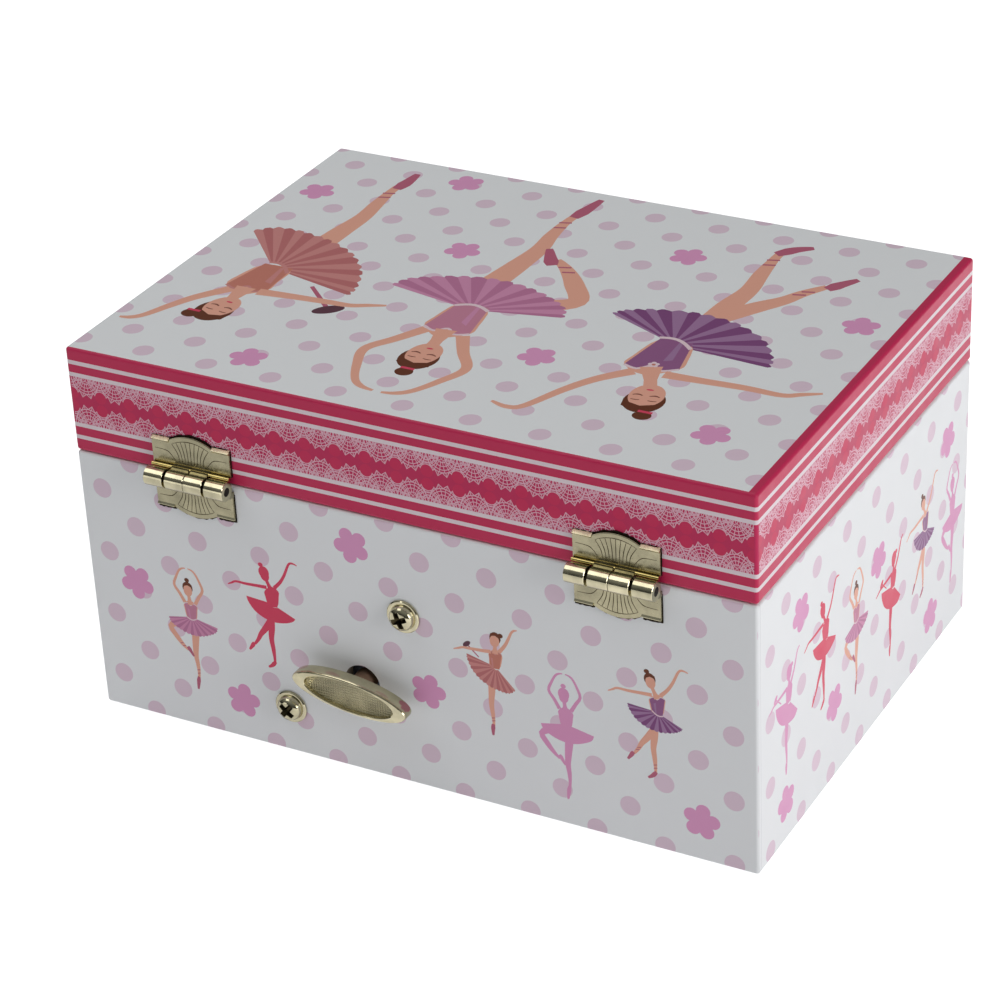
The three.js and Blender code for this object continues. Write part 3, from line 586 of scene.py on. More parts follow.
def draw_dancer(page, pose, dress, s, t, scale=1.0):
    """A dancer with her waist at (s, t). A dress that is an ink's name gives a silhouette in it."""
    plain = dress if dress in INKS else None
    dark, light, bodice, trim = (plain,) * 4 if plain else DRESS[dress]
    steps = 3 if scale < 1 else 6

    def at(point):
        return (
            s + scale * (point[0] - pose["waist"][0]),
            t + scale * (point[1] - pose["waist"][1]),
        )

    def fill(ink, outline):
        page.shape(plain or ink, [at(p) for p in outline])

    def limb(ink, path, *widths, smooth=True):
        placed = [at(p) for p in path]
        page.stroke(plain or ink, catmull(placed, steps) if smooth else placed, *[w * scale for w in widths])

    def blob(ink, centre, across, up, tilt=0.0):
        page.shape(plain or ink, ellipse(at(centre), across * scale, up * scale, tilt, 6 * steps))

    for path, widths in zip(pose["legs"], pose["leg_widths"]):
        limb("skin", path, *widths)
    for path in pose["shoes"]:
        limb("shoe", path, 2.2, 3.2, 2.4, 1.4)
    for path in () if plain else pose["legs"]:
        for share in (0.72, 0.8):
            x, y = catmull(path, 10)[int(share * 10 * (len(path) - 1))]
            limb("shoe", [(x - 1.3, y - 0.4), (x + 1.3, y + 0.4)], 0.6, 0.6)
    if "fan" in pose:
        tip, grip = pose["fan"]
        limb("shoe", [grip, tip], 0.9, 1.1)
        blob("fan", tip, 3.4, 1.7, 40)

    # The skirt is a row of pleats between the waist and a scalloped hem.
    start, end = (Vector(p) for p in pose["waist_ends"])
    hem = catmull(pose["tutu"], 12)
    middle = Vector(pose["waist"])

    def hem_point(share, swell=0.0):
        point = Vector(hem[min(round(share * (len(hem) - 1)), len(hem) - 1)])
        return tuple(point + (point - middle).normalized() * swell)

    def waist_point(share):
        bow = Vector((0, -1.6 * math.sin(math.pi * share)))
        return tuple(start.lerp(end, share) + bow)

    if plain:
        fill(plain, [hem_point(i / 24) for i in range(25)] + [waist_point(1 - i / 6) for i in range(7)])
    else:
        for i in range(PLEATS):
            first, last = i / PLEATS, (i + 1) / PLEATS
            wedge = [
                waist_point(first),
                hem_point(first),
                hem_point((2 * first + last) / 3, 0.7),
                hem_point((first + 2 * last) / 3, 0.7),
                hem_point(last),
                waist_point(last),
            ]
            fill(light if i % 2 else dark, wedge)

    (ax, ay), (bx, by) = pose["bust"]
    cx, cy = (ax + bx) / 2, (ay + by) / 2
    wx, wy = pose["waist"]
    torso = [(wx - 3.3, wy), (ax, ay - 4), (ax, ay), (cx, cy + 3.6), (bx, by), (bx, by - 4), (wx + 3.3, wy)]
    fill("skin", catmull(torso, 3, closed=True))
    cups = [(ax * a + bx * (1 - a), ay * a + by * (1 - a) + 1.3) for a in (0.72, 0.28)]
    dress_top = catmull([(ax, ay), cups[0], (cx, cy - 0.6), cups[1], (bx, by)], 4)
    fill(bodice, dress_top + [(wx + 3.4, wy - 0.6), (wx - 3.4, wy - 0.6)])
    if not plain:
        fill(light, [(wx - 1.6, wy), (wx - 2.8, ay - 3), (wx - 1.2, by - 4), (wx - 0.8, wy)])
        limb(trim, dress_top, 0.7, smooth=False)
        limb(trim, [waist_point(i / 8) for i in range(9)], 0.9, smooth=False)

    hx, hy, lean = pose["head"]
    limb("skin", [(cx, cy), ((cx + hx) / 2, cy + 5), (hx, hy - 2)], 4.6, 2.6, 2.8)
    for path in pose["arms"]:
        limb("skin", path, 2.9, 2.4, 2.1, 1.7, 1.5, 0.7)
    blob("hair", pose["bun"], 1.9, 1.7)
    blob("hair", (hx - 0.06 * lean, hy + 1.6), 4.1, 4.7, lean)
    blob("skin", (hx, hy - 0.6), 3.5, 4.6, lean)
    if plain:
        return
    turn = Matrix.Rotation(math.radians(lean), 2)

    def on_face(x, y):
        return tuple(Vector((hx, hy)) + turn @ Vector((x, y)))

    fringe = [(-3.9, 1.2), (-3.6, 4.2), (0, 6.2), (3.6, 4.2), (3.9, 1.2), (2.6, 2.6), (0, 3.6), (-2.6, 2.6)]
    fill("hair", [on_face(*p) for p in fringe])
    if scale < 1:
        return
    x, y = pose["bun"]
    limb("red", [(x - 1.5, y - 1.5), (x + 1.5, y - 1.5)], 0.8, 0.8)
    for eye in (-1.7, 1.7):
        lashes = [on_face(eye + x, -0.3 - 0.5 * math.cos(1.3 * x)) for x in (-1, -0.5, 0, 0.5, 1)]
        limb("line", lashes, 0.25, 0.5, 0.25)
        brow = [on_face(eye + x, 1.2 + 0.2 * math.cos(1.2 * x)) for x in (-0.9, 0, 0.9)]
        limb("line", brow, 0.2, 0.34, 0.2)
    blob("red", on_face(0, -3), 0.75, 0.3, lean)
    if dress == "purple":
        brooch = (cx, cy - 1)
        for k in range(5):
            blob("trim", polar(brooch, 0.7, FIFTH * k), 0.5, 0.5)
        blob("amber", brooch, 0.4, 0.4)


# ------------------------------------------------------------------ base print
# Positions of the motifs, measured across from the left and down from the lid's top.
LONG_SIDE = {
    "first_dot": (12.6, 23.5),
    "flowers": [(11.3, 51.5), (63.6, 30.7), (34.8, 74), (79, 60.2), (138, 74.3)],
    "dancers": [
        (RING_POSE, "orchid_dress", 24, 57.3),
        (OPEN_POSE, "red", 44.1, 49.2),
        (FAN_POSE, "salmon", 94.3, 50.8),
        (RING_POSE, "orchid", 109.5, 60.3),
        (OPEN_POSE, "purple", 129.2, 52.2),
    ],
}
SHORT_SIDE = {
    "first_dot": (5.4, 22.3),
    "flowers": [(19.8, 35.6), (58.5, 45), (95.8, 36.3), (36.3, 65.6), (12.8, 74.5), (88, 74.2)],
    "dancers": [
        (FAN_POSE, "orchid", 13.9, 52.1),
        (OPEN_POSE, "red", 31.8, 48.2),
        (RING_POSE, "orchid_dress", 47.3, 53),
        (FAN_POSE, "red", 66.4, 55.5),
        (OPEN_POSE, "purple", 84, 51.5),
        (RING_POSE, "orchid", 99.5, 55.5),
    ],
}
SMALL = 0.3
KEY_HOLE = 4
FOLD = {"s": 1.1, "width": 0.12}


def base_page(side):
    long_side = side in ("back", "front")
    motifs = LONG_SIDE if long_side else SHORT_SIDE
    page = Page(0, 0, WIDTH if long_side else DEPTH, RIM)
    s, v = motifs["first_dot"]
    draw_dots(page, s, HEIGHT - v, -1)
    for s, v in motifs["flowers"]:
        draw_flower(page, s, HEIGHT - v, 90 + 37 * math.sin(s))
    for pose, dress, s, v in motifs["dancers"]:
        draw_dancer(page, pose, dress, s, HEIGHT - v, SMALL)
    if side == "back":
        page.shape("hole", ellipse((HALF_W - WIND.x, WIND.z), KEY_HOLE, KEY_HOLE, 0, 32))
    if side == "left":
        page.stroke("fold", [(FOLD["s"], 0), (FOLD["s"], RIM)], FOLD["width"])
    page.crease_edges()
    return page.triangles()


def level_page(ink, is_open):
    """The underside, or the open edge of the base or the lid."""
    page = Page(0, 0, WIDTH, DEPTH, ink)
    if is_open:
        page.shape("hole", rectangle(WALL, WALL, WIDTH - WALL, DEPTH - WALL))
    page.crease_edges()
    return page.triangles()


base_shell = Shell((-HALF_W, -HALF_D, 0), (HALF_W, HALF_D, RIM))
for side in SIDES:
    base_shell.lay(base_page(side), PLACES[side])
base_shell.lay(level_page("paper", True), PLACES["rim"])
base_shell.lay(level_page("paper", False), PLACES["underside"])
base_print = base_shell.build("base_print")
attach(base_print, "case")
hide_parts("base_paper_wrap", "base_bottom_cover")

# ------------------------------------------------------------------ lid print
# Heights on the band are measured down from the lid's top.
LIGHT_LINES = (3.1, 5.8, 17.1, 19.9)
LINE_HALF = 0.45
LACE = {"from": 6.25, "to": 16.65, "middle": 11.45, "pitch": 6.65, "gap": 1.35, "gap_rise": 1.45}
SCALLOP = {"rings": (1.2, 2.0, 2.75, 3.3), "tip": 4.2, "height": 1.05, "hub": 0.9}
SCALLOP.update({"ribs": 9, "teeth": 6, "beads": 8})
CORNER_RINGS = (1.3, 1.95, 2.6)


def band_page(left, right):
    """A length of the band, without its lace."""
    page = Page(left, LID_FOOT, right, HEIGHT, "pink_deep")
    stripes = [("pink_dark", LACE["from"], LACE["to"])]
    stripes += [("pink_pale", v - LINE_HALF, v + LINE_HALF) for v in LIGHT_LINES]
    for ink, high, low in stripes:
        page.shape(ink, rectangle(left, HEIGHT - low, right, HEIGHT - high))
    return page


def lace_tile(pitch):
    """One repeat of the band: a scallop of lace above and below, with round gaps between scallops."""
    page = band_page(0, pitch)
    middle = HEIGHT - LACE["middle"]
    rim, tip, hub = SCALLOP["rings"][-1], SCALLOP["tip"], SCALLOP["hub"]

    def thread(path, width):
        page.stroke("lace", path, width)

    for edge, way in ((HEIGHT - LACE["from"], -1), (HEIGHT - LACE["to"], 1)):

        def out(radius, angle, x=pitch / 2, edge=edge, way=way):
            return (x + radius * math.cos(angle), edge + way * SCALLOP["height"] * radius * math.sin(angle))

        beads, ribs, teeth = (SCALLOP[name] for name in ("beads", "ribs", "teeth"))
        for k in range(beads):
            thread([out(0.72, math.pi * j / 4, pitch * (k + 0.5) / beads) for j in range(5)], 0.16)
        for radius in SCALLOP["rings"]:
            thread([out(radius, math.pi * j / 12) for j in range(13)], 0.18)
        for k in range(1, ribs):
            angle = math.pi * k / ribs
            thread([out(hub, angle), out(rim, angle)], 0.15)
        for k in range(teeth):
            first, last = (math.pi * (0.05 + 0.9 * (k + part) / teeth) for part in (0, 1))
            point = (first + last) / 2
            thread([out(rim, first), out(tip, point), out(rim, last)], 0.22)
            thread([out(rim, point), out(tip - 0.1, point)], 0.16)
        for x, side in ((0, 1), (pitch, -1)):
            for radius in CORNER_RINGS:
                thread([out(radius, math.pi / 2 - side * math.pi * j / 12, x) for j in range(7)], 0.19)
            for turn in (0.12, 0.34):
                way_out = math.pi * (0.5 - side * turn)
                thread([out(hub, way_out, x), out(CORNER_RINGS[-1], way_out, x)], 0.15)
    for x, upright in ((0, 0), (pitch, math.pi)):
        for side in (-1, 1):
            gap_centre = (x, middle + side * LACE["gap_rise"])
            page.shape("pink_chain", ellipse(gap_centre, LACE["gap"], LACE["gap"]))
            edge = arc(gap_centre, LACE["gap"] + 0.08, side * math.pi / 2, side * upright, 8)
            thread(edge[:-1], 0.18)
    page.crease_edges("bt")
    return page.triangles()


def corner_strip(left, right, side):
    page = band_page(left, right)
    page.crease_edges("bt" + side)
    return page.triangles()


# Each side's band is a piece of its own, because lace takes many small faces.
LID_BOX = (-HALF_W, -HALF_D, LID_FOOT), (HALF_W, HALF_D, HEIGHT)
for side in SIDES:
    band_shell = Shell(*LID_BOX)
    length = WIDTH if side in ("back", "front") else DEPTH
    repeats = round((length - 2 * EDGE) / LACE["pitch"])
    pitch = (length - 2 * EDGE) / repeats
    tile = lace_tile(pitch)
    for k in range(repeats):
        band_shell.lay(tile, PLACES[side], EDGE + k * pitch)
    band_shell.lay(corner_strip(0, EDGE, "l"), PLACES[side])
    band_shell.lay(corner_strip(length - EDGE, length, "r"), PLACES[side])
    band = band_shell.build(f"lid_band_{side}")
    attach(band, "lid")

# The band's paper turns over onto the top along two of its edges.
TURNED_OVER = {"left": 1.9, "back": 0.6}
TOP_FLOWERS = [(53.8, 22.2), (114.2, 7), (142.2, 23), (9, 38.3), (98.3, 37.5), (61.5, 74.8), (17, 90.5),
               (113.7, 97.5)]
TOP_FIRST_DOT = (2.2, 0.15)
top_page = Page(0, 0, WIDTH, DEPTH)
draw_dots(top_page, *TOP_FIRST_DOT, 1)
for s, t in TOP_FLOWERS:
    draw_flower(top_page, s, t, 270 + 30 * math.sin(s))
for pose, dress in ((OPEN_POSE, "purple"), (RING_POSE, "orchid_dress"), (FAN_POSE, "salmon")):
    draw_dancer(top_page, pose, dress, *pose["waist"])
top_page.shape("pink_deep", rectangle(0, 0, TURNED_OVER["left"], DEPTH))
top_page.shape("pink_deep", rectangle(0, DEPTH - TURNED_OVER["back"], WIDTH, DEPTH))
top_page.crease_edges()
lid_shell = Shell(*LID_BOX)
lid_shell.lay(top_page.triangles(), PLACES["top"])
lid_shell.lay(level_page("pink_deep", True), PLACES["lid_foot"])
lid_print = lid_shell.build("lid_print")
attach(lid_print, "lid")
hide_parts("lid_paper_wrap")

# ------------------------------------------------------------------ CAD nodes that only need a finish
def cover_nodes(mat, names, round_off=0.0):
    for name in names:
        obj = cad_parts[name]
        obj.data.materials.clear()
        obj.data.materials.append(mat)
        if round_off:
            bevel = obj.modifiers.new("rounding", "BEVEL")
            bevel.width = round_off * MM
            bevel.segments = 2
            bevel.angle_limit = math.radians(40)


cover_nodes(board, [f"base_{side}_panel" for side in (*SIDES, "bottom")])
cover_nodes(board, [f"lid_{side}_panel" for side in (*SIDES, "top")])
cover_nodes(velour, [f"liner_{side}" for side in (*SIDES, "floor")], 0.25)
cover_nodes(velour, ["movement_partition", "deck", "divider_long", "divider_cross"], 0.4)
cover_nodes(velour, ["lid_top_liner", "lid_side_liner"], 0.25)
cover_nodes(mirror_glass, ["mirror"])
cover_nodes(white_plastic, ["mirror_frame"], 0.2)
cover_nodes(white_plastic, ["cylinder_arbor", "governor_wheel", "governor_worm", "spindle"])
cover_nodes(brass, ["crown_wheel", "pin_cylinder"])
cover_nodes(steel, ["spring_barrel", "cylinder_bracket", "spindle_bracket", "comb"])
cover_nodes(steel, ["comb_screw_1", "comb_screw_2", "stop_wire"])
cover_nodes(dark_steel, ["hinge_left_pin", "hinge_right_pin"])
cover_nodes(shaft_steel, ["winding_shaft"])
cover_nodes(blued_steel, ["bedplate", "mainspring", "governor_frame", "comb_block"])


# ------------------------------------------------------------------ solid shapes
def turned(profile, sides=48, closed=False):
    """Points and faces of a profile of (distance from the axis, height along it) turned about Z."""
    rings = [
        [(*polar((0, 0), r, a), h) for a in turns(sides)]
        for r, h in (profile + profile[:1] if closed else profile)
    ]
    return loft(rings, closed_ends=not closed)


def tube(path, radii, sides=14):
    """A round limb along a path, with its radius given at each point."""
    rings = []
    last = len(path) - 1
    for i, point in enumerate(path):
        ahead = Vector(path[min(i + 1, last)]) - Vector(path[max(i - 1, 0)])
        turn = ahead.to_track_quat("Z", "Y")
        rings.append([Vector(point) + turn @ Vector((*polar((0, 0), radii[i], a), 0)) for a in turns(sides)])
    return loft(rings)
def block(low, high):
    outline = rectangle(low[0], low[1], high[0], high[1])
    return loft([[(x, y, z) for x, y in outline] for z in (low[2], high[2])])
def plate(outline, low, high):
    """An outline in X and Z made solid from y = low to y = high."""
    return loft([[(x, y, z) for x, z in outline] for y in (low, high)])


def moved(solid, matrix):
    return [matrix @ Vector(p) for p in solid[0]], solid[1]


def face_outwards(obj):
    shape = bmesh.new()
    shape.from_mesh(obj.data)
    bmesh.ops.recalc_face_normals(shape, faces=shape.faces)
    shape.to_mesh(obj.data)
    shape.free()


class Build:
    """Several closed pieces gathered into one object, each with its own material."""

    def __init__(self, name):
        self.name, self.points, self.faces, self.slots, self.materials = name, [], [], [], []

    def add(self, mat, solid, matrix=None):
        points, faces = moved(solid, matrix) if matrix else solid
        if mat not in self.materials:
            self.materials.append(mat)
        start = len(self.points)
        self.points += points
        self.faces += [[start + i for i in face] for face in faces]
        self.slots += [self.materials.index(mat)] * len(faces)

    def done(self, body, instead_of=(), angle=35):
        obj = mesh_object(self.name, self.points, self.faces, self.materials, self.slots)
        face_outwards(obj)
        smooth(obj)
        obj.data.set_sharp_from_angle(angle=math.radians(angle))
        if body:
            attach(obj, body)
        if instead_of:
            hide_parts(*instead_of)
        return obj
# The paper turns in over the rim, and velour lines the walls above the deck.
ROOM = Vector((HALF_W - WALL, HALF_D - WALL, 0))
LINER_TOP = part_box("liner_left")[1].z / MM
DECK_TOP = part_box("deck")[1].z / MM
BACK_OF_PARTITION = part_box("movement_partition")[1].y / MM
THIN = 0.25
PAPER_TOP = RIM - 0.05
turn_in = Build("base_turn_in")
rear_lining = Build("rear_lining")
for side in (-1, 1):
    x = sorted((side * ROOM.x, side * (ROOM.x - THIN)))
    y = sorted((side * ROOM.y, side * (ROOM.y - THIN)))
    turn_in.add(inks["paper"], block((x[0], -ROOM.y, LINER_TOP), (x[1], ROOM.y, PAPER_TOP)))
    turn_in.add(inks["paper"], block((-ROOM.x + THIN, y[0], LINER_TOP), (ROOM.x - THIN, y[1], PAPER_TOP)))
    rear_lining.add(velour, block((x[0], BACK_OF_PARTITION, DECK_TOP), (x[1], ROOM.y - 1, LINER_TOP)))
turn_in.done("case")
rear_lining.done("case")
# ------------------------------------------------------------------ hinges
pin_low, pin_high = box_mm("hinge_left_pin")
PIN = middle_mm("hinge_left_pin")
HINGE_HALF = (pin_high.x - pin_low.x) / 2
LEAF = {"thick": 0.6, "shoulder": 7.6, "shell": 9.5, "shell_top": 9.0, "neck": 5.0, "foot": 2.0}
KNUCKLE = {"radius": 2.0, "bore": 0.95, "gap": 0.3, "soft": 0.09, "joint": 0.06}
LEAF["shell_y"] = LEAF["shell_top"] - LEAF["shell"]
LEAF["half_angle"] = math.acos((LEAF["shoulder"] - LEAF["shell_y"]) / LEAF["shell"])


def leaf_outline(grow=0.0, shoulder_grow=0.0, rough=0.0, steps=16):
    """The leaf's outline in X and height above the pin: a shell between two shoulders."""
    dice = random.Random(7)
    a = LEAF["half_angle"]
    half, top = HINGE_HALF - 0.15 + grow / 3, LEAF["shoulder"] + shoulder_grow
    shell = arc((0, LEAF["shell_y"]), LEAF["shell"] + grow, math.pi / 2 - a, math.pi / 2 + a, steps)
    shares = [k / 8 for k in range(9)] if rough else [0]
    reach = [half - (half - LEAF["neck"]) * share for share in shares]
    ring = [(x, top) for x in reach] + shell + [(-x, top) for x in reversed(reach)]
    ring = [(x, z + dice.uniform(-rough, rough)) for x, z in ring]
    return [(-half, LEAF["foot"]), (half, LEAF["foot"]), *ring]


RIB_FOOT = {"pitch": 0.68, "height": 3.0}
SIDE_LINE = [(8.4, 5.3), (6, 5.2), (4.9, 4.7), (3.6, 3.1)]


def engraved_lines():
    """The stamped pattern: an arc inside the shell, ribs that fan out under it and a line each side."""
    a = LEAF["half_angle"] * 0.96
    inner = LEAF["shell"] - 1.0
    centre = (0, LEAF["shell_y"])
    lines = [arc(centre, inner, math.pi / 2 - a, math.pi / 2 + a, 14)]
    for k in range(-4, 5):
        foot = (RIB_FOOT["pitch"] * k, RIB_FOOT["height"])
        tip = polar(centre, inner, math.pi / 2 - a * k / 4)
        bow = (0.5 * foot[0] + 0.5 * tip[0] - 0.1 * k, 0.5 * foot[1] + 0.5 * tip[1])
        lines.append(catmull([foot, bow, tip], 5))
    for side in (-1, 1):
        lines.append(catmull([(side * x, z) for x, z in SIDE_LINE], 4))
    return lines


def knuckle(start, end):
    r, bore, soft = KNUCKLE["radius"], KNUCKLE["bore"], KNUCKLE["soft"]
    rising = [(bore, start), (r - soft, start), (r, start + soft)]
    falling = [(r, end - soft), (r - soft, end), (bore, end)]
    return turned(rising + falling, 40, closed=True)


# The folded shoulder's section, in Y and height from the leaf's shoulder.
SHOULDER_FOLD = [(0.1, 0.3), (0.98, -0.14), (0.98, -0.24), (0.6, -0.7), (0.1, -0.7)]
LIP = {"y": 1.2, "z": 1.92, "radius": 0.42}
# Widths along each stamped line of its flat dark strip, which is painted shade for the groove.
ENGRAVED = (0.08, 0.19, 0.1)


def hinge_leaf(name, centre_x, up, spans, body):
    """One leaf. up is 1 for the lid's and -1 for the base's, and spans are its knuckles' ends."""
    build = Build(name + "_looks")
    place = Matrix.Translation((centre_x, HALF_D, PIN.z)) @ Matrix.Diagonal((1, 1, up, 1))
    along = place @ Matrix.Translation((0, PIN.y - HALF_D, 0)) @ Matrix.Rotation(math.pi / 2, 4, "Y")
    thick, reach = LEAF["thick"], HINGE_HALF - 0.2
    build.add(nickel_gold, plate(leaf_outline(), 0.1, thick), place)
    build.add(nickel_gold, plate(leaf_outline(-0.14, -0.14), thick, thick + 0.08), place)
    # A dark ragged plate against the wall, a little larger than the leaf: its sheared edge and tarnish, and
    # painted shadow round the shell and below the shoulders.
    build.add(sheared_edge_and_shade, plate(leaf_outline(0.3, 0.35 if up > 0 else 0.8, 0.14), 0, 0.22), place)
    for side in (-1, 1):
        ends = (side * LEAF["neck"], side * reach)
        strip = loft([[(x, y, LEAF["shoulder"] + z) for y, z in SHOULDER_FOLD] for x in ends])
        build.add(polished, strip, place)
    # The stamped lines are flat dark strips just off the leaf's face: painted shade for their grooves, not
    # grooves.
    for line in engraved_lines():
        ring = [(x, thick + 0.085, z) for x, z in ribbon(line, ENGRAVED)]
        count = len(line)
        faces = [(i, i + 1, 2 * count - 2 - i, 2 * count - 1 - i) for i in range(count - 1)]
        build.add(painted_groove_shade, (ring, faces), place)
    # The lip gets the brighter, yellower copy of the metal: a painted highlight along it.
    lip = [(x, LIP["y"], LIP["z"]) for x in (-reach, 0, reach)]
    build.add(lip_painted_highlight, tube(lip, [LIP["radius"]] * 3, 16), place)
    for start, end in spans:
        build.add(polished, knuckle(start, end), along)
        build.add(nickel_gold, block((start + 0.1, 0.1, 1.3), (end - 0.1, 1.9, 2.3)), place)
    build.done(body, [name])
quarter, gap, joint = HINGE_HALF / 2, KNUCKLE["gap"], KNUCKLE["joint"]
inner_spans = [(-quarter + gap, -joint), (joint, quarter - gap)]
outer_spans = [(-HINGE_HALF, -quarter - gap), (quarter + gap, HINGE_HALF)]
for side in ("left", "right"):
    middle = middle_mm(f"hinge_{side}_pin").x
    hinge_leaf(f"hinge_{side}_lid_leaf", middle, 1, inner_spans, "lid")
    hinge_leaf(f"hinge_{side}_base_leaf", middle, -1, outer_spans, "case")


# ------------------------------------------------------------------ screws and key
# A screw's pressed collar and domed head, as (distance from its axis, height above the paper).
SCREW_HEAD = [(3.2, 0.02), (3.6, 0.12), (3.6, 0.4), (3.4, 0.6), (3.0, 0.66), (2.78, 0.6), (2.7, 0.8),
              (2.62, 1.3), (2.3, 1.85), (1.7, 2.16), (1.0, 2.28)]
CROSS_ARM = rectangle(-1.75, -0.56, 1.75, 0.56)
CROSS_TAPER = ((1.1, 0.4), (2.6, 1.3))
def screw(name, turn):
    middle = middle_mm(name)
    place = Matrix.Translation((middle.x, HALF_D, middle.z))
    outward = place @ Matrix.Rotation(-math.pi / 2, 4, "X") @ Matrix.Rotation(math.radians(turn), 4, "Z")
    build = Build(name + "_looks")
    build.add(polished, turned(SCREW_HEAD), outward)
    obj = build.done("case", [name])
    # The cutter hands its dark material to the cross recess it cuts: painted shade inside the recess.
    cutter = Build(name + "_cross")
    for quarter_turns in (0, 1):
        arm = [[(x * size, y * size, h) for x, y in CROSS_ARM] for h, size in CROSS_TAPER]
        cutter.add(painted_groove_shade, loft(arm), outward @ Matrix.Rotation(quarter_turns * math.pi / 2, 4, "Z"))
    cross = mesh_object(name + "_cross", cutter.points, cutter.faces, [painted_groove_shade])
    cut = obj.modifiers.new("cross", "BOOLEAN")
    cut.operation = "DIFFERENCE"
    cut.solver = "EXACT"
    cut.use_self = True
    cut.material_mode = "TRANSFER"
    cut.object = cross
    depsgraph = bpy.context.evaluated_depsgraph_get()
    obj.data = bpy.data.meshes.new_from_object(obj.evaluated_get(depsgraph))
    obj.modifiers.clear()
    bpy.data.objects.remove(cross)


screw("movement_screw_upper", 22)
screw("movement_screw_lower", 50)


def oval(across, up, y, sides=64):
    return [(across * math.cos(a), y, up * math.sin(a)) for a in turns(sides)]


KEY = {"half": 13.0, "half_up": 3.8, "back": 3.0, "front": 6.0, "floor": 5.1, "tilt": 6.7}
# The key's rings from the back to the foot of its rim: how far inside its outline, across and up, and Y.
KEY_RINGS = [
    (0.6, 0.6, KEY["back"]),
    (0.1, 0.1, KEY["back"] + 0.15),
    (0, 0, KEY["back"] + 0.5),
    (0, 0, KEY["front"] - 0.6),
    (0.06, 0.06, KEY["front"] - 0.3),
    (0.2, 0.18, KEY["front"] - 0.09),
    (0.42, 0.34, KEY["front"]),
    (2.7, 0.46, KEY["front"]),
    (2.85, 0.56, KEY["front"] - 0.1),
    (2.92, 0.62, KEY["floor"]),
]
HUB = [(2.3, -2.2), (2.3, 2.4), (2.6, 3.1)]
key_place = Matrix.Translation((WIND.x, HALF_D, WIND.z)) @ Matrix.Rotation(math.radians(-KEY["tilt"]), 4, "Y")
key_build = Build("winding_key_looks")
outside = [oval(KEY["half"] - across, KEY["half_up"] - up, y) for across, up, y in KEY_RINGS]
key_build.add(polished, loft(outside), key_place)
field = oval(KEY["half"] - 2.94, KEY["half_up"] - 0.64, KEY["floor"] + 0.01)
key_build.add(pebbled, loft([field, oval(2.0, 0.7, KEY["floor"] + 0.03)]), key_place)
key_build.add(shaft_steel, turned(HUB, 32), key_place @ Matrix.Rotation(-math.pi / 2, 4, "X"))
key_build.done("winder", ["winding_key"], 28)


# ------------------------------------------------------------------ dancer, her skirt and her spring
# The dancer is built upright on her foot, Z up and facing +Y, and lies down at rest.
stage_top = (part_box("spindle")[1] / MM).z
PIVOT = Vector((middle_mm("dancer_spring").x, 31.7, 51.0))
lying = Matrix.Translation(PIVOT) @ Matrix.Rotation(math.pi / 2, 4, "X")
LEG = {
    "path": [(0.25, 0.25, 3), (0.45, 0.3, 5.5), (0.62, 0.1, 10), (0.62, 0, 14), (0.9, 0, 19), (1.15, 0, 24)],
    "radii": [0.4, 0.62, 1.0, 0.85, 1.3, 1.7],
}
SHOE = {
    "path": [(0.2, 0.25, 2.9), (0.3, 0.28, 3.8), (0.45, 0.3, 5.4), (0.5, 0.25, 6.2)],
    "radii": [0.5, 0.72, 0.74, 0.6],
}
ARM = [(1.9, 0, 32.6), (4.3, 0.1, 35), (5.3, 0, 38.4), (3.9, -0.1, 42), (1.6, 0, 44.4), (0.5, 0, 45)]
# Rows of (height, half width, half depth).
BODICE = [(22.6, 2.3, 1.8), (23.6, 2.6, 2.0), (25, 2.3, 1.75), (27, 1.75, 1.4), (29, 2.0, 1.6),
          (31, 2.6, 2.0), (31.8, 2.6, 1.9), (32.1, 2.3, 1.5)]
CHEST = [(31.5, 2.3, 1.5), (32.6, 2.45, 1.35), (33.3, 1.9, 1.15), (33.8, 0.95, 0.85), (34.6, 0.72, 0.72),
         (36.2, 0.7, 0.7)]


def torso(sections):
    """An oval-sectioned body."""
    return loft([[(w * math.cos(a), d * math.sin(a), h) for a in turns(28)] for h, w, d in sections])


def ball(radius, flat=1.0):
    rows = [math.pi * k / 12 for k in range(1, 12)]
    return turned([(radius * math.sin(a), -radius * flat * math.cos(a)) for a in rows], 24)


def sided(path, side, y_side=1):
    """A limb's path on the dancer's right side, or on her left where side is -1."""
    return [(x * side, y * y_side, z) for x, y, z in path]


figure = Build("dancer_figure")


def add_part(paint, solid, place=lying):
    figure.add(figure_paint[paint], solid, place)


for side in (-1, 1):
    add_part("skin", tube(sided(LEG["path"], side, side), LEG["radii"]))
    add_part("shoe", tube(sided(SHOE["path"], side, side), SHOE["radii"]))
    arm = catmull(sided(ARM, side), 4)
    radii = [0.78 - 0.42 * i / (len(arm) - 1) for i in range(len(arm))]
    add_part("skin", tube(arm, radii))
add_part("bodice", torso(BODICE))
add_part("skin", torso(CHEST))
for paint, radius, flat, place in (
    ("skin", 2.0, 1.2, (0, 0.1, 38.1)),
    ("hair", 2.15, 1.12, (0, -0.35, 38.55)),
    ("hair", 0.95, 1.0, (0, -0.9, 41.0)),
):
    add_part(paint, ball(radius, flat), lying @ Matrix.Translation(place))
for side in (-1, 1):
    lid_x = [0.75 * side + 0.42 * x for x in (-1, 0, 1)]
    lid_line = [(x, 2.02 - 0.12 * abs(x), z) for x, z in zip(lid_x, (37.97, 37.85, 37.97))]
    add_part("hair", tube(lid_line, [0.05, 0.09, 0.05], 6))
lips = [(-0.35, 1.86, 36.95), (0, 1.92, 36.9), (0.35, 1.86, 36.95)]
add_part("shoe", tube(lips, [0.06, 0.14, 0.06], 6))
figure.done("dancer", ["dancer_body"], 50)
# Two layers of tulle, gathered at the waist and waved at the hem.
TUTU = {"inner": 2.0, "outer": 12.0, "height": 24.4, "folds": 17, "rings": 10, "sides": 204}


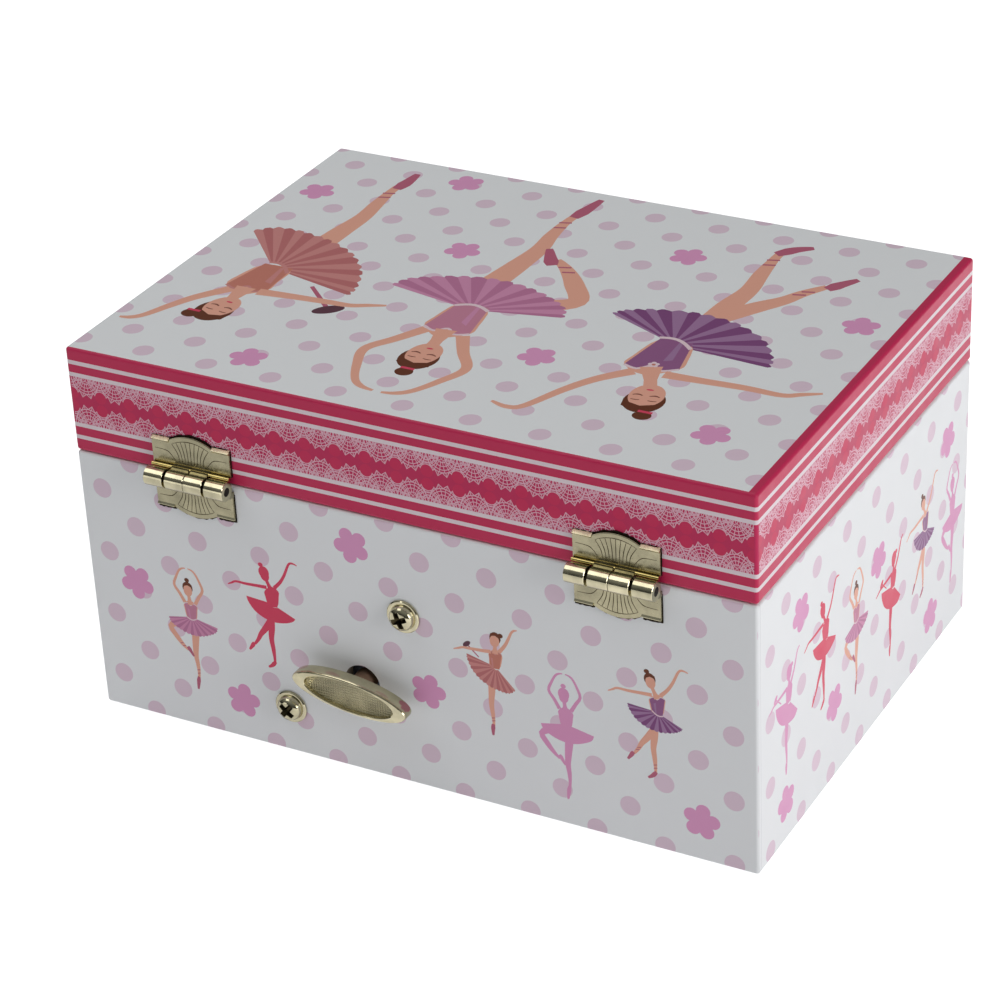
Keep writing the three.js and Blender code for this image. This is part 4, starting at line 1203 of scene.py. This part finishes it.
def tutu_layer(name, height, lift, folds, shift):
    rows = []
    for i in range(TUTU["rings"] + 1):
        out = i / TUTU["rings"]
        radius = TUTU["inner"] + (TUTU["outer"] - TUTU["inner"]) * out
        row = []
        for a in turns(TUTU["sides"]):
            wave = math.sin(folds * a + shift) + 0.35 * math.sin((folds // 2) * a + 2 * shift)
            rise = lift * out**0.7 + 0.62 * out**1.2 * wave
            swing = 0.25 * out * math.sin(3 * a + shift)
            row.append(lying @ Vector((*polar((0, 0), radius + swing, a), height + rise)))
        rows.append(row)
    points, faces = loft(rows, closed_ends=False)
    obj = mesh_object(name, points, faces, [tulle])
    smooth(obj)
    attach(obj, "dancer")
    return obj
upper_layer = tutu_layer("dancer_tutu_upper", TUTU["height"] + 0.3, 0.5, TUTU["folds"], 0)
tutu_layer("dancer_tutu_lower", TUTU["height"] - 0.7, 0.1, TUTU["folds"] - 3, 1.1)
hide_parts("dancer_tutu")

# At rest the spring is bent over a quarter turn, from the turning disc to the dancer's foot.
SPRING = {"coil": 1.6, "wire": 0.2, "turns": 9, "steps": 16}
bend = PIVOT.z - stage_top + 0.05
bend_low = Vector((PIVOT.x, PIVOT.y - bend, stage_top))
wire = []
points_along = SPRING["turns"] * SPRING["steps"]
for i in range(points_along + 1):
    share = i / points_along
    lean = share * math.pi / 2
    turn = 2 * math.pi * SPRING["turns"] * share
    outward = Vector((0, math.cos(lean), math.sin(lean)))
    spine = bend_low + outward * bend
    wire.append(spine + SPRING["coil"] * (outward * math.cos(turn) + Vector((math.sin(turn), 0, 0))))
spring = Build("dancer_spring_looks")
spring.add(steel, tube(wire, [SPRING["wire"]] * len(wire), 8))
spring_object = spring.done(None, ["dancer_spring"])
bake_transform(spring_object)
# ------------------------------------------------------------------ ring pads
PAD = {"side_gap": 0.35, "top_gap": 0.5, "end_gap": 0.6, "foot": 0.2, "steps": 30, "glue": 1.5}
END_SHRINK = {0: 0.9, 1: 0.97}
CLOTH = {
    "quality": 8,
    "mass": 0.001,
    "use_pressure": True,
    "uniform_pressure_force": 3,
    "tension_stiffness": 8,
    "compression_stiffness": 8,
    "shear_stiffness": 4,
    "bending_stiffness": 0.3,
    "tension_damping": 8,
    "vertex_group_mass": "glued",
    "shrink_min": 0.0,
}


def pad_mesh(name, low, high):
    """A long roll with a flat bottom and a round top, as a grid that the cloth simulation can fill."""
    size, middle = high - low, (low + high) / 2
    half = size.y / 2 - PAD["side_gap"]
    top = high.z - low.z - PAD["top_gap"]
    arch, foot = top - half, PAD["foot"]
    section = [(-half, foot + (arch - foot) * k / 8) for k in range(8)]
    section += [(-half * math.cos(a), arch + half * math.sin(a)) for a in turns(36)[:19]]
    section += [(half, arch - (arch - foot) * k / 8) for k in range(1, 9)]
    section += [(half - 2 * half * k / 8, foot) for k in range(1, 8)]
    rings = []
    for i in range(PAD["steps"] + 1):
        x = middle.x + (size.x - 2 * PAD["end_gap"]) * (i / PAD["steps"] - 0.5)
        shrink = END_SHRINK.get(min(i, PAD["steps"] - i), 1.0)
        rings.append([(x, middle.y + y * shrink, low.z + z * (0.5 + 0.5 * shrink)) for y, z in section])
    points, faces = loft(rings)
    # Each end face becomes a fan about its centre.
    ends = [faces.pop(-2), faces.pop()]
    for face in ends:
        points.append(tuple(sum((Vector(points[i]) for i in face), Vector()) / len(face)))
        faces += [(a, b, len(points) - 1) for a, b in zip(face, face[1:] + face[:1])]
    pad = mesh_object(name, points, faces, [foam])
    face_outwards(pad)
    return pad


def fill_with_air(obj, floor_z, frames=24):
    """Lets the light cover swell over its foam while its bottom stays glued down."""
    glued = obj.vertex_groups.new(name="glued")
    low_points = [v.index for v in obj.data.vertices if v.co.z < (floor_z + PAD["glue"]) * MM]
    glued.add(low_points, 1.0, "REPLACE")
    cover = obj.modifiers.new("cover", "CLOTH")
    for setting, value in CLOTH.items():
        setattr(cover.settings, setting, value)
    cover.settings.effector_weights.gravity = 0
    cover.point_cache.frame_start = 1
    cover.point_cache.frame_end = frames
    scene = bpy.context.scene
    for step in range(1, frames + 1):
        scene.frame_set(step)
    depsgraph = bpy.context.evaluated_depsgraph_get()
    shape = bpy.data.meshes.new_from_object(obj.evaluated_get(depsgraph))
    scene.frame_set(1)
    obj.modifiers.clear()
    obj.data = shape
pad_low, pad_high = box_mm("ring_pad_1")
first_pad = pad_mesh("pad_1", pad_low, pad_high)
fill_with_air(first_pad, pad_low.z)
margin = Vector((0.05, 0.05, 0))
limits = [v * MM for v in (pad_low + margin, pad_high - margin)]
for vertex in first_pad.data.vertices:
    vertex.co = [min(max(c, a), b) for c, a, b in zip(vertex.co, *limits)]
smooth(first_pad)
pads = [first_pad]
for number in (2, 3, 4):
    low, high = box_mm(f"ring_pad_{number}")
    pad = bpy.data.objects.new(f"pad_{number}", first_pad.data.copy())
    shift = ((low + high) - (pad_low + pad_high)) / 2
    pad.data.transform(Matrix.Translation(shift * MM))
    if number % 2 == 0:
        # Every second roll is turned round, so that no two neighbours are alike.
        middle = (low + high) / 2 * MM
        turn = Matrix.Translation(middle) @ Matrix.Rotation(math.pi, 4, "Z") @ Matrix.Translation(-middle)
        pad.data.transform(turn)
    bpy.context.scene.collection.objects.link(pad)
    pads.append(pad)
for number, pad in enumerate(pads, 1):
    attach(pad, "case")
    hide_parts(f"ring_pad_{number}")

# ------------------------------------------------------------------ stage, light and camera
def add_glow(mat, seen, mirrored):
    """Light that is seen on a surface or mirrored in others, but that falls on nothing else.

    mirrored is its strength in reflections to the camera's right and to its left.
    """
    across = spread(mat, place_parts(mat)["X"], *mirrored, MIRRORED_RANGE)
    rays = node(mat, "LightPath").outputs
    in_mirror = calculate(mat, "MULTIPLY", across, rays["Is Glossy Ray"])
    total = calculate(mat, "MULTIPLY_ADD", rays["Is Camera Ray"], seen, in_mirror)
    glow = node(mat, "Emission", Strength=total)
    both = node(mat, "AddShader")
    for socket, shader in zip(both.inputs, (shader_of(mat), glow)):
        feed(mat, socket, shader.outputs[0])
    feed(mat, mat.node_tree.nodes["Material Output"].inputs["Surface"], both.outputs[0])


LIGHT = {"sky": 0.3, "haze": 0.04, "floor": 0.18, "overhead": 3.3, "left": 0.25, "right": 4.45}
LIGHT["floor_seen"] = 0.55
LIGHT["floor_mirrored"] = (0.8, 0.2)
MIRRORED_RANGE = (-0.12, 0.04)
HAZE_TO_SKY = (0.1, 0.75)
FLOOR_HALF = 3000
glowing = {"Emission_Color": (1, 1, 1, 1), "Emission_Strength": LIGHT["floor"]}
floor_look = base_material("floor", (240, 240, 242), 0.8, Specular_IOR_Level=0.2, **glowing)
vary_roughness(floor_look, noise(floor_look, 40), 0.7, 0.9)
add_glow(floor_look, LIGHT["floor_seen"], LIGHT["floor_mirrored"])
corners = [(x, y, 0) for x, y in rectangle(-FLOOR_HALF, -FLOOR_HALF, FLOOR_HALF, FLOOR_HALF)]
floor = mesh_object("floor", corners, [(0, 1, 2, 3)], [floor_look])
floor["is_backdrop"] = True

# The sky is bright overhead and dim at the horizon, so that the metal has something dark to mirror.
# The camera itself sees it white, like the floor.
world = bpy.data.worlds.new("studio")
bpy.context.scene.world = world
world.use_nodes = True
background = world.node_tree.nodes["Background"]
background.inputs["Color"].default_value = (0.96, 1, 0.99, 1)
sky = spread(world, place_parts(world, "Generated")["Z"], LIGHT["haze"], LIGHT["sky"], HAZE_TO_SKY)
to_camera = node(world, "LightPath").outputs["Is Camera Ray"]
feed(world, background.inputs["Strength"], calculate(world, "MAXIMUM", sky, to_camera))
def soft_box(name, place, aim, wide, high, power):
    light = bpy.data.lights.new(name, "AREA")
    light.shape = "RECTANGLE"
    light.size = wide
    light.size_y = high
    light.energy = power
    obj = bpy.data.objects.new(name, light)
    obj.location = place
    obj.rotation_euler = (Vector(aim) - Vector(place)).to_track_quat("-Z", "Y").to_euler()
    bpy.context.scene.collection.objects.link(obj)
    obj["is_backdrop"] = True


centre = (0, 0, 0.04)
soft_box("overhead", (0.43, 0.0, 0.9), centre, 1.3, 0.45, LIGHT["overhead"])
soft_box("camera_left", (0.5, 0.75, 0.12), centre, 0.3, 0.2, LIGHT["left"])
soft_box("camera_right", (-0.95, 0.2, 0.35), centre, 0.5, 0.5, LIGHT["right"])

CAMERA = {"place": (-281.64, 513.39, 366.55), "aim": (4.43, 6.58, 40), "roll": -2.867, "lens": 116.27}
camera = bpy.data.cameras.new("camera")
camera.lens = CAMERA["lens"]
camera.sensor_width = 36
camera_object = bpy.data.objects.new("camera", camera)
place = Vector(CAMERA["place"]) * MM
look = (Vector(CAMERA["aim"]) * MM - place).to_track_quat("-Z", "Y")
camera_object.location = place
camera_object.rotation_mode = "QUATERNION"
camera_object.rotation_quaternion = look @ Quaternion((0, 0, 1), math.radians(CAMERA["roll"]))
bpy.context.scene.collection.objects.link(camera_object)
bpy.context.scene.camera = camera_object
bpy.context.scene.view_settings.view_transform = "Standard"

low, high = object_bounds()
